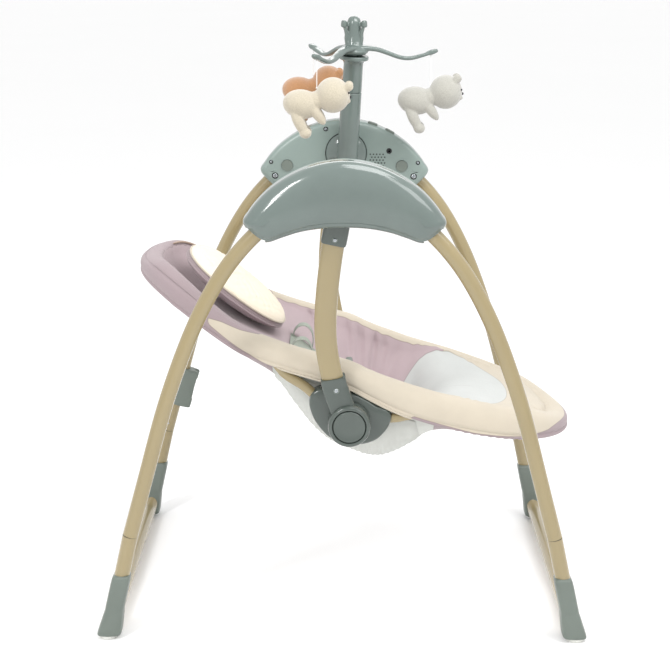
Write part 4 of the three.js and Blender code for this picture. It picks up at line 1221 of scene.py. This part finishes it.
def build_head_cushion(sizes):
    """The loose head cushion: rounded-square rings whose share and height follow a profile, blown up,
    quilted, and piped along both seams."""
    count = 150
    t = np.linspace(0, 2 * math.pi, count, endpoint=False)
    edge_u = 103 * np.sign(np.cos(t)) * np.abs(np.cos(t)) ** 0.86
    edge_v = 94 * np.sign(np.sin(t)) * np.abs(np.sin(t)) ** 0.86 * (1 - 0.07 * np.cos(t))
    rows = spline(CUSHION_ROWS, 76)
    share, height = rows[:, :1], rows[:, 1:]
    u, v = share * edge_u, share * edge_v
    w = np.broadcast_to(height, u.shape).copy()
    top = smoothstep(9, 15, w)
    w -= top * 3.2 * bump(u, -4, 26) * bump(v, 0, 40)
    band = np.minimum(8 - w, 60) * np.ones_like(w)
    points = cushion_points(u, v, w)
    mesh = Shape().grid(placed(points), cushion_band=band * MM).mesh("head_cushion")
    # The pillow's cream is lightened, painted light.
    piece = finished("head_pillow", mesh, FINISHES["pillow"], "seat", ["head_cushion"], 0)
    puffed(piece, sizes.pillow_pressure, sizes.pillow_most)
    quilt(piece, sizes.quilt_pitch / MM)
    soften = piece.modifiers.new("smooth_surface", "SUBSURF")
    soften.levels = soften.render_levels = 1
    baked(piece)
    for name, level, size, finish in (("pillow_piping", 7.6, 0.995, "piping"),
                                      ("pillow_base_piping", -1.5, 1.003, "mauve")):
        line = cushion_points(edge_u * size, edge_v * size, np.full(count, level))
        loop = Shape().grid(placed(carry(oval(1.7, 1.7, 10), line, (0.6, 0, 0.8), closed=True)), loop=True)
        finished(name, loop.mesh(name), FINISHES[finish], "seat")


def quilt(piece, pitch):
    """Sinks crossing quilting channels, a pitch apart, into the cushion's top."""
    count = len(piece.data.vertices)
    flat = np.empty(count * 3)
    piece.data.vertices.foreach_get("co", flat)
    points = flat.reshape(-1, 3)
    away = (points - placed(np.array([-189, 0, 528]))) @ np.array(Matrix.Rotation(math.radians(38), 3, "Y"))
    u, v, w = away.T / MM
    channel = sum(bump((way % pitch) - pitch / 2, 0, 1.6) for way in (u * 0.8 + v * 0.6, u * 0.8 - v * 0.6))
    depth = 1.5 * np.minimum(channel, 1.2) * smoothstep(13, 19, w)
    normal = np.array(Matrix.Rotation(math.radians(38), 3, "Y")) @ np.array([0, 0, 1])
    piece.data.vertices.foreach_set("co", (points - depth[:, None] * normal * MM).ravel())
    piece.data.update()


def strap(name, line, width, thick, finish, side, replaced=()):
    """Flat webbing: a thin rounded band carried along a line, square to its side direction."""
    section = oval(thick / 2, width / 2, 32, 6)
    mesh = Shape().grid(placed(carry(section, spline(line, 60), side)), cap_first=True,
                        cap_last=True).mesh(name)
    return finished(name, mesh, FINISHES[finish], "seat", replaced, 50)


def build_harness():
    """Webbing bands along their lines, and the crotch buckle: rounded boxes with two dark slots."""
    strap("shoulder_webbing", [(-94, 0, 432), (-80, 0, 423), (-66, 0, 413), (-52, 0, 402),
                               (-40, 0, 391)], 112, 2.2,
          "webbing", (0, 1, 0), ["shoulder_strap"])
    for side, sign in SIDES:
        strap(f"{side}_harness_loop", [(-90, 50 * sign, 428), (-87, 50 * sign, 440), (-78, 50 * sign, 449),
                                       (-66, 50 * sign, 449), (-57, 50 * sign, 439), (-54, 50 * sign, 422),
                                       (-56, 50 * sign, 407)], 24, 1.6, "webbing", (0, 1, 0))
    strap("crotch_webbing", [(20.5, 0, 274), (18.5, 0, 296), (16, 0, 318), (13.7, 0, 342),
                             (12.5, 0, 362)], 34, 2.2,
          "webbing", (0, 1, 0), ["crotch_strap"])
    turn = np.array(Matrix.Rotation(math.radians(-6), 3, "Y"))
    ring = oval(1, 1, 64, 4.5)
    rows = [(0.05, -17), (0.86, -17), (0.95, -16), (1.0, -13), (1.0, 11), (0.97, 14.5), (0.88, 16.6),
            (0.7, 17.2), (0.05, 17.3)]
    block = np.stack([np.column_stack([ring[:, 0] * 6.4 * s, ring[:, 1] * 23 * s, np.full(64, h)]) for s,
                      h in rows])
    buckle = Shape().grid(placed(block @ turn.T + np.array([11.5, 0, 382])), cap_first=True, cap_last=True)
    finished("crotch_buckle", buckle.mesh("crotch_buckle"), FINISHES["satin"], "seat",
             ["harness_buckle"], 50)
    slots = Shape()
    for y, half, z in ((-9, 6.5, 384), (9, 6.5, 384)):
        for face in (-6.2, 6.2):
            pad = oval(7.5, half, 32, 4)
            wall = np.stack([np.column_stack([np.full(32, face + out), y + pad[:, 1] * s, pad[:, 0] * s])
                             for s, out in ((0.05, -0.3), (1.0, -0.3), (1.0, 0.3), (0.05, 0.3))])
            slots.grid(placed(wall @ turn.T + np.array([11.5, 0, z])), cap_first=True, cap_last=True)
    finished("buckle_slots", slots.mesh("slots"), FINISHES["black"], "seat")


# ---------------------------------------------------------------- mast and mobile
MAST_FOOT = np.array([5.0, 222.0, 724.0])
MAST_HEAD = np.array([15.5, 206.0, 908.0])
ARM_ANGLES = [math.radians(2.4) + i * 2 * math.pi / 3 for i in range(3)]
HOOK_REACH = 140
HOOK_HEIGHT = 5
ARM_LINE = [(4, 18), (26, 18), (44, 15.5), (62, 9.5), (84, 2), (102, 0.5), (124, 5.5), (147, 13)]


def mast_turn():
    """The turn that takes +Z to the mast's own axis."""
    axis = Vector(MAST_HEAD - MAST_FOOT)
    return np.array(Vector((0, 0, 1)).rotation_difference(axis).to_matrix())


def along_mast(rows, count=72):
    """A turned piece about the mast's axis, its heights measured from the mast's foot."""
    return turned(rows, count) @ mast_turn().T + MAST_FOOT


def fused(name, meshes, voxel, smoothing):
    """One skin over several closed meshes: a fine remesh whose inner corners are then relaxed."""
    work = bpy.data.objects.new("fusing_block", meshes[0])
    bpy.context.scene.collection.objects.link(work)
    others = []
    for mesh in meshes[1:]:
        other = bpy.data.objects.new("fusing_part", mesh)
        bpy.context.scene.collection.objects.link(other)
        modifier = work.modifiers.new("join", "BOOLEAN")
        modifier.object, modifier.operation, modifier.solver = other, "UNION", "MANIFOLD"
        others.append(other)
    remesh = work.modifiers.new("skin", "REMESH")
    remesh.mode, remesh.voxel_size, remesh.use_smooth_shade = "VOXEL", voxel, True
    relax = work.modifiers.new("relax", "SMOOTH")
    relax.factor, relax.iterations = 0.5, smoothing
    mesh = baked(work)
    mesh.name = name
    for used in [work, *others]:
        bpy.data.objects.remove(used)
    return mesh


def build_mast():
    """The mast: dome, knee and lower tube fused into one skin, and the turned upper tube."""
    gloss = FINISHES["gloss"]
    dome_rows = [(0.05, 249.7), (37.2, 249.7), (38, 248.9), (37.9, 246), (37, 243.4), (34.5, 240.8),
                 (30, 238.2), (25, 235.9), (20, 233), (16, 229), (13, 225), (0.05, 224)]
    dome = Shape().grid(placed(lathe_y(dome_rows, 3, 730, 1, 96)), cap_first=True, cap_last=True).mesh("dome")
    ball_rows = [(19.6 * math.sin(a), 19.6 * -math.cos(a)) for a in np.linspace(0.02, math.pi - 0.02, 28)]
    ball = Shape().grid(placed(turned(ball_rows, 64) + MAST_FOOT), cap_first=True, cap_last=True).mesh("knee")
    tube = Shape().grid(placed(along_mast([(0.05, 0), (19.6, 0), (18.5, 123), (17.9, 123.9), (0.05, 124)])),
                        cap_first=True, cap_last=True).mesh("tube")
    lower = fused("mast_lower_skin", [dome, ball, tube], 0.0013, 6)
    finished("mast_foot", lower, gloss, "mast", ["mast_lower"], 45)
    length = float(np.linalg.norm(MAST_HEAD - MAST_FOOT))
    upper = [(0.05, 108), (12.6, 108), (12.6, 124.4), (17.6, 124.4), (18.2, 125.2), (17.7, length - 12),
             (18.4, length - 7), (20.5, length - 4), (25.2, length - 2.4), (26.6, length - 1.4),
             (27, length + 0.2), (27, length + 3.4), (26.2, length + 4.8), (24.5, length + 5),
             (5, length + 5), (5, length + 15), (0.05, length + 15)]
    top = Shape().grid(placed(along_mast(upper)), cap_first=True, cap_last=True).mesh("mast_top")
    finished("mast_tube", top, gloss, "mast", ["mast_upper"], 35)


def round_about(points, angle):
    """Points turned about the Z axis by an angle."""
    c, s = math.cos(angle), math.sin(angle)
    return points @ np.array([[c, s, 0], [-s, c, 0], [0, 0, 1]])


def build_mobile():
    """Tower with side hooks, and three flat curved arms that end in string clips."""
    tower = [(8, 10), (16, 6.6), (21.6, 6.4), (22.6, 7.4), (25, 9.6), (26, 11), (26, 13), (24, 15.6),
             (20, 19), (17, 24), (15, 30), (13.6, 38), (13, 46), (13, 61), (12.2, 66), (10, 71),
             (6.5, 74.2), (3, 75.4), (0.05, 75.6)]
    parts = [Shape().grid(placed(turned([(0.05, 11), *tower], 72) + MAST_HEAD), cap_first=True, cap_last=True)
             .mesh("tower")]
    line = spline(ARM_LINE, 80)
    size = np.interp(line[:, 0], [4, 26, 45, 70, 110, 132, 147], [17, 13, 9.5, 8.0, 7.2, 7.2, 5.6])
    deep = np.interp(line[:, 0], [4, 30, 60, 110, 147], [6.5, 5.0, 4.3, 3.9, 3.3])
    ring = oval(1, 1, 40, 2.6)
    section = np.stack([ring[None, :, 0] * deep[:, None], ring[None, :, 1] * size[:, None]], axis=-1)
    path = np.column_stack([line[:, 0], np.zeros(80), line[:, 1]])
    arm = carry(section, path, (0, 1, 0))
    clip_path = np.column_stack([np.linspace(130, 152, 14), np.zeros(14), np.linspace(8.0, 14.6, 14)])
    swell = np.sin(np.linspace(0.35, math.pi - 0.35, 14)) ** 0.5
    clip = carry(oval(4.6, 7.0, 32, 3.4)[None] * swell[:, None, None], clip_path, (0, 1, 0))
    knob_path = np.column_stack([np.linspace(8, 25, 16), np.zeros(16), np.linspace(60, 62, 16)])
    knob_size = np.interp(np.linspace(0, 1, 16), [0, 0.45, 0.7, 0.93, 1], [3.6, 3.8, 6.6, 6.6, 4.8])
    knob = carry(oval(1, 0.86, 32, 3.6)[None] * knob_size[:, None, None], knob_path, (0, 1, 0))
    fin_line = spline([(20, 58), (17.4, 50), (15.8, 43), (16.2, 36), (15, 27)], 26)
    fin_path = np.column_stack([fin_line[:, 0], np.zeros(26), fin_line[:, 1]])
    fin = carry(oval(2.5, 4.2, 24, 3), fin_path, (0, 1, 0))
    for angle in ARM_ANGLES:
        for points, turn_by in ((arm, angle), (clip, angle), (knob, angle - math.radians(32)),
                                (fin, angle - math.radians(32))):
            place = round_about(points, turn_by) + MAST_HEAD
            parts.append(Shape().grid(placed(place), cap_first=True, cap_last=True).mesh("mobile_part"))
    skin = fused("mobile_skin", parts, 0.0009, 3)
    finished("mobile_frame", skin, FINISHES["gloss"], "mobile", ["mobile_arms"], 45)
    rings = Shape()
    for angle in ARM_ANGLES:
        hook = round_about(np.array([[HOOK_REACH, 0, HOOK_HEIGHT + 1.8]]), angle)[0] + MAST_HEAD
        t = np.linspace(0, 2 * math.pi, 28, endpoint=False)
        loop = np.column_stack([2.0 * np.cos(t), np.zeros(28), 2.0 * np.sin(t)])
        rings.grid(placed(carry(oval(0.6, 0.6, 10), loop, (0, 1, 0), closed=True) + hook), loop=True)
    finished("string_eyes", rings.mesh("string_eyes"), FINISHES["cord"], "mobile")


def toy_places():
    """(colour, hook point, string length) of the three hanging toys."""
    for angle, (colour, drop) in zip(ARM_ANGLES, (("grey", 6), ("brown", 0), ("cream", 0))):
        reach = np.array([math.cos(angle) * HOOK_REACH, math.sin(angle) * HOOK_REACH, HOOK_HEIGHT - 0.3])
        hook = MAST_HEAD + reach
        yield colour, hook, 46 + drop


def build_strings():
    """Twisted cords: a three-lobed section that turns as it goes down."""
    for colour, hook, length in toy_places():
        z = np.linspace(0, -length, 60)
        line = placed(np.column_stack([np.full(60, hook[0]), np.full(60, hook[1]), hook[2] + z]))
        t = np.linspace(0, 2 * math.pi, 18, endpoint=False)
        radius = 0.7 * (0.9 + 0.1 * np.cos(3 * (t[None] - z[:, None] / 4 * 2 * math.pi / 3)))
        points = line[:, None] + MM * np.stack([radius * np.cos(t), radius * np.sin(t),
                                                np.zeros_like(radius)], -1)
        mesh = Shape().grid(points, cap_first=True, cap_last=True).mesh("string")
        piece = finished(f"{colour}_string", mesh, FINISHES["cord"], f"{colour}_toy_body",
                         [f"{colour}_toy_string"])
        length * MM


def ball_points(rows, count, tip):
    """A ball of radius 1: rings at even angles from the top to the bottom, both tips left open."""
    a = np.linspace(tip, math.pi - tip, rows)[:, None]
    t = np.linspace(0, 2 * math.pi, count, endpoint=False)
    return np.stack([np.sin(a) * np.cos(t), np.sin(a) * np.sin(t), np.broadcast_to(np.cos(a), (rows, count))],
                    axis=-1)


def ball_mesh(rx, ry, rz, x, y, z, pitch=0.0, base=(0, 0, 0)):
    """An ellipsoid turned about Y, at a place."""
    points = ball_points(26, 36, 0.03) * np.array([rx, ry, rz])
    turn = np.array(Matrix.Rotation(math.radians(pitch), 3, "Y"))
    points = points @ turn.T + np.array([x, y, z]) + np.asarray(base)
    return Shape().grid(placed(points), cap_first=True, cap_last=True).mesh("ball")


TOY_EARS = {"cream": (56, 15, 1), "brown": (49, 17, 3), "grey": (48, 15, 10)}


def build_toys():
    """Plush animals: overlapping balls fused into one skin, with bead eyes and a string knot."""
    for colour, hook, length in toy_places():
        base = hook + np.array([0, 0, -length + 2.2])
        body = f"{colour}_toy_body"
        ex, ey, ez = TOY_EARS[colour]
        balls = [(30, 30, 31, 28, 0, -15), (33.5, 26.5, 25.5, -26, 0, -31, 8), (17, 20, 17, -1, 0, -25)]
        for side in (-1, 1):
            balls += [(10, 9, 26, -30, side * 14, -62, -28), (10.8, 9.5, 9.5, -19.5, side * 14, -80, 0),
                      (9, 8, 24, 0, side * 13, -46, -38), (8, 4.6, 8, ex, side * ey, ez, 20),
                      (5.5, 6, 4, 54, side * 4.5, -25)]
        skin = fused(f"{colour}_plush", [ball_mesh(*ball, base=base) for ball in balls], 0.0017, 4)
        finished(f"{colour}_animal", skin, FINISHES[f"toy_{colour}"], body,
                 [f"{colour}_toy"], 0)
        beads = Shape()
        head = base + np.array([28, 0, -15])
        for way, size in (((0.9, 0.38, 0.16), 2.0), ((0.9, -0.38, 0.16), 2.0), ((0.985, 0.0, -0.1), 2.6)):
            spot = head + unit(np.array(way)) * 30.4
            beads.grid(placed(ball_points(12, 20, 0.05) * size + spot), cap_first=True, cap_last=True)
        finished(f"{colour}_eyes", beads.mesh("eyes"), FINISHES["black"], body)
        shape = ball_points(12, 20, 0.05) * np.array([2.0, 2.0, 1.2])
        knot = Shape().grid(placed(shape + hook + np.array([0, 0, -length - 0.6])),
                            cap_first=True, cap_last=True)
        finished(f"{colour}_string_knot", knot.mesh("knot"), FINISHES["cord"], body)


# ---------------------------------------------------------------- works inside the housings
def finish_kept_nodes():
    """Better finishes on the frame's own nodes that stay as they are."""
    kept = {"near_pivot_axle": "steel", "far_pivot_axle": "steel", "drive_motor": "steel",
            "battery_pack": "black",
            "control_board": "board", "battery_door": "gloss"}
    for name, finish in kept.items():
        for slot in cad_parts[name].material_slots:
            slot.material = FINISHES[finish]


# ---------------------------------------------------------------- stage
def build_stage(stage):
    """Pale floor, even pale surroundings, a broad soft light from the upper right, a close one over
    the seat, a long window-shaped one from the upper left and one behind."""
    scene = bpy.context.scene
    scene.view_settings.view_transform = "Standard"
    floor = bpy.data.meshes.new("floor")
    floor.from_pydata([(-30, -30, 0), (30, -30, 0), (30, 30, 0), (-30, 30, 0)], [], [(0, 1, 2, 3)])
    surface = Surface("floor", roughness=0.6, Specular_IOR_Level=0.15)
    tint = tuple(stage.floor)
    surface.colour(surface.mix(surface.noise(0.6, 2.0).between(0.3, 0.7), tint, shade(tint, 0.995)))
    floor.materials.append(surface.material)
    ground = bpy.data.objects.new("floor", floor)
    scene.collection.objects.link(ground)

    world = bpy.data.worlds.new("studio")
    scene.world = world
    world.use_nodes = True
    world.node_tree.nodes["Background"].inputs["Color"].default_value = (1, 1, 1, 1)
    world.node_tree.nodes["Background"].inputs["Strength"].default_value = stage.surroundings

    for name, place, aim, size, power in (
        ("broad_light", (1.9, -1.3, 2.6), (0, 0, 0.6), (1.6, 1.2), 26 * stage.lights),
        ("top_light", (0.3, -0.45, 1.72), (0.0, 0.12, 0.75), (0.6, 0.5), 6 * stage.lights),
        ("window_light", (-1.5, -2.2, 2.3), (-0.05, -0.3, 0.6), (0.34, 1.3), 36 * stage.lights),
        ("back_light", (0.3, 2.6, 2.4), (0, 0.1, 0.5), (2.4, 1.0), 16 * stage.lights),
    ):
        light = bpy.data.lights.new(name, "AREA")
        light.shape, light.size, light.size_y, light.energy = "RECTANGLE", size[0], size[1], power
        lamp = bpy.data.objects.new(name, light)
        lamp.location = place
        lamp.rotation_euler = (Vector(aim) - Vector(place)).to_track_quat("-Z", "Y").to_euler()
        scene.collection.objects.link(lamp)

    camera = bpy.data.cameras.new("camera")
    camera.sensor_width, camera.lens = 36, 1600 * 36 / 670
    viewer = bpy.data.objects.new("camera", camera)
    pitch, yaw, roll = math.radians(-14.303), math.radians(-0.208), math.radians(0.317)
    turn = (Matrix.Rotation(-yaw, 3, "Z") @ Matrix.Rotation(math.pi / 2 + pitch, 3, "X")
            @ Matrix.Rotation(roll, 3, "Z"))
    viewer.rotation_euler = turn.to_euler()
    viewer.location = (-0.0051, -2.7440, 1.1377)
    scene.collection.objects.link(viewer)
    scene.camera = viewer


# ---------------------------------------------------------------- what a user may change
def colour_property(name, description, default):
    """A colour setting of the panel."""
    return bpy.props.FloatVectorProperty(name=name, description=description, default=default, subtype="COLOR",
                                         min=0, max=1)


class SwingColours(bpy.types.PropertyGroup):
    """Colours of the finishes."""

    sage: colour_property("Sage plastic", "Glossy moulded housings, hubs and mobile", SAGE)
    satin: colour_property("Satin plastic", "Boots, leg clip and buttons", SAGE_SATIN)
    paint: colour_property("Tube paint", "Powder coat of the tubes", CREAM_PAINT)
    cream: colour_property("Cream cotton", "Outer panels of the seat and pillow", CREAM_CLOTH)
    mauve: colour_property("Mauve cotton", "Inner panels and the ends of the seat", MAUVE_CLOTH)
    oval: colour_property("Foot oval", "Oval panel under the child's legs", OVAL_CLOTH)
    net: colour_property("Net", "Net bag under the seat", MESH_CLOTH)
    webbing: colour_property("Webbing", "Harness webbing", WEBBING)


class SoftSizes(bpy.types.PropertyGroup):
    """Sizes of the soft pieces."""

    quilt_pitch: bpy.props.FloatProperty(name="Quilt pitch", description="Distance between quilting channels",
                                         default=0.015, min=0.006, max=0.04, unit="LENGTH")
    pillow_pressure: bpy.props.FloatProperty(name="Pillow pressure",
                                             description="Pressure that fills the pillow",
                                             default=4.0, min=0.0, max=20.0)
    pillow_most: bpy.props.FloatProperty(name="Most swelling",
                                         description="Furthest that the pillow may swell",
                                         default=0.006, min=0.0, max=0.016, unit="LENGTH")


class StageLook(bpy.types.PropertyGroup):
    """Floor and lights."""

    floor: colour_property("Floor", "Colour of the studio floor", (0.98, 0.98, 0.98))
    surroundings: bpy.props.FloatProperty(name="Surroundings", description="Strength of the even light",
                                          default=1.0, min=0.0, max=4.0)
    lights: bpy.props.FloatProperty(name="Lights", description="Strength of the four soft lights",
                                    default=1.0,
                                    min=0.0, max=10.0)


class SWING_OT_stage(bpy.types.Operator):
    """Make the camera, the floor and the studio light"""

    bl_idname = "swing.stage"
    bl_label = "Stage"

    def execute(self, context):
        build_stage(context.scene.swing_stage)
        return {"FINISHED"}


class SWING_OT_finishes(bpy.types.Operator):
    """Make every finish, and give the frame's own inner parts theirs"""

    bl_idname = "swing.finishes"
    bl_label = "Finishes"

    def execute(self, context):
        make_finishes(context.scene.swing_colours)
        finish_kept_nodes()
        return {"FINISHED"}


class SWING_OT_strings(bpy.types.Operator):
    """Hang the three toy strings"""

    bl_idname = "swing.strings"
    bl_label = "Toy strings"

    def execute(self, context):
        build_strings()
        return {"FINISHED"}


class SWING_OT_housings(bpy.types.Operator):
    """Mould the two housings with their screws, speaker slots and mains inlet"""

    bl_idname = "swing.housings"
    bl_label = "Housings"

    def execute(self, context):
        build_housings()
        return {"FINISHED"}


class SWING_OT_buttons(bpy.types.Operator):
    """Make the leg buttons and the two keys"""

    bl_idname = "swing.buttons"
    bl_label = "Buttons"

    def execute(self, context):
        build_buttons()
        return {"FINISHED"}


class SWING_OT_legs(bpy.types.Operator):
    """Bend the legs and the cross tubes"""

    bl_idname = "swing.legs"
    bl_label = "Legs"

    def execute(self, context):
        build_legs()
        return {"FINISHED"}


class SWING_OT_feet(bpy.types.Operator):
    """Make the boots, the floor pads and the storage clip"""

    bl_idname = "swing.feet"
    bl_label = "Feet and clip"

    def execute(self, context):
        build_feet()
        build_leg_clip()
        return {"FINISHED"}


class SWING_OT_arms(bpy.types.Operator):
    """Make the swing arms with their sockets, hubs and recline caps"""

    bl_idname = "swing.arms"
    bl_label = "Swing arms"

    def execute(self, context):
        build_arms()
        return {"FINISHED"}


class SWING_OT_seat_frame(bpy.types.Operator):
    """Make the seat's side brackets and bent tubes"""

    bl_idname = "swing.seat_frame"
    bl_label = "Seat frame"

    def execute(self, context):
        build_brackets()
        build_seat_tubes()
        return {"FINISHED"}


class SWING_OT_seat_cover(bpy.types.Operator):
    """Sew the padded seat cover and hang its net bag"""

    bl_idname = "swing.seat_cover"
    bl_label = "Seat cover"

    def execute(self, context):
        build_seat_cover()
        build_mesh_bag()
        return {"FINISHED"}


class SWING_OT_pillow(bpy.types.Operator):
    """Fill and quilt the head pillow"""

    bl_idname = "swing.pillow"
    bl_label = "Head pillow"

    def execute(self, context):
        build_head_cushion(context.scene.swing_soft)
        return {"FINISHED"}


class SWING_OT_harness(bpy.types.Operator):
    """Lay the harness webbing and its buckle"""

    bl_idname = "swing.harness"
    bl_label = "Harness"

    def execute(self, context):
        build_harness()
        return {"FINISHED"}


class SWING_OT_mast(bpy.types.Operator):
    """Make the mast that carries the mobile"""

    bl_idname = "swing.mast"
    bl_label = "Mast"

    def execute(self, context):
        build_mast()
        return {"FINISHED"}


class SWING_OT_mobile(bpy.types.Operator):
    """Make the mobile's tower and arms"""

    bl_idname = "swing.mobile"
    bl_label = "Mobile"

    def execute(self, context):
        build_mobile()
        return {"FINISHED"}


class SWING_OT_toys(bpy.types.Operator):
    """Make the three plush animals"""

    bl_idname = "swing.toys"
    bl_label = "Toys"

    def execute(self, context):
        build_toys()
        return {"FINISHED"}


PIECES = (SWING_OT_stage, SWING_OT_finishes, SWING_OT_strings, SWING_OT_housings, SWING_OT_buttons,
          SWING_OT_legs,
          SWING_OT_feet, SWING_OT_arms, SWING_OT_seat_frame, SWING_OT_seat_cover, SWING_OT_pillow,
          SWING_OT_harness,
          SWING_OT_mast, SWING_OT_mobile, SWING_OT_toys)


class SWING_PT_panel(bpy.types.Panel):
    """Lists the pieces in the order in which they are made"""

    bl_idname = "SWING_PT_panel"
    bl_label = "Baby swing"
    bl_space_type = "VIEW_3D"
    bl_region_type = "UI"
    bl_category = "Baby swing"

    def draw(self, context):
        for group in (context.scene.swing_colours, context.scene.swing_soft, context.scene.swing_stage):
            for name in group.__annotations__:
                self.layout.prop(group, name)
        for piece in PIECES:
            self.layout.operator(piece.bl_idname)


GROUPS = {"swing_colours": SwingColours, "swing_soft": SoftSizes, "swing_stage": StageLook}


def register():
    """Registers the classes and adds the settings to the scene."""
    for kind in (*GROUPS.values(), *PIECES, SWING_PT_panel):
        bpy.utils.register_class(kind)
    for name, group in GROUPS.items():
        setattr(bpy.types.Scene, name, bpy.props.PointerProperty(type=group))


def unregister():
    """Takes the settings and the classes away again."""
    for name in GROUPS:
        delattr(bpy.types.Scene, name)
    for kind in (SWING_PT_panel, *PIECES[::-1], *GROUPS.values()):
        bpy.utils.unregister_class(kind)


def main():
    """Builds the swing and the stage."""
    register()
    for piece in PIECES:
        group, name = piece.bl_idname.split(".")
        getattr(getattr(bpy.ops, group), name)()


if __name__ == "__main__":
    main()
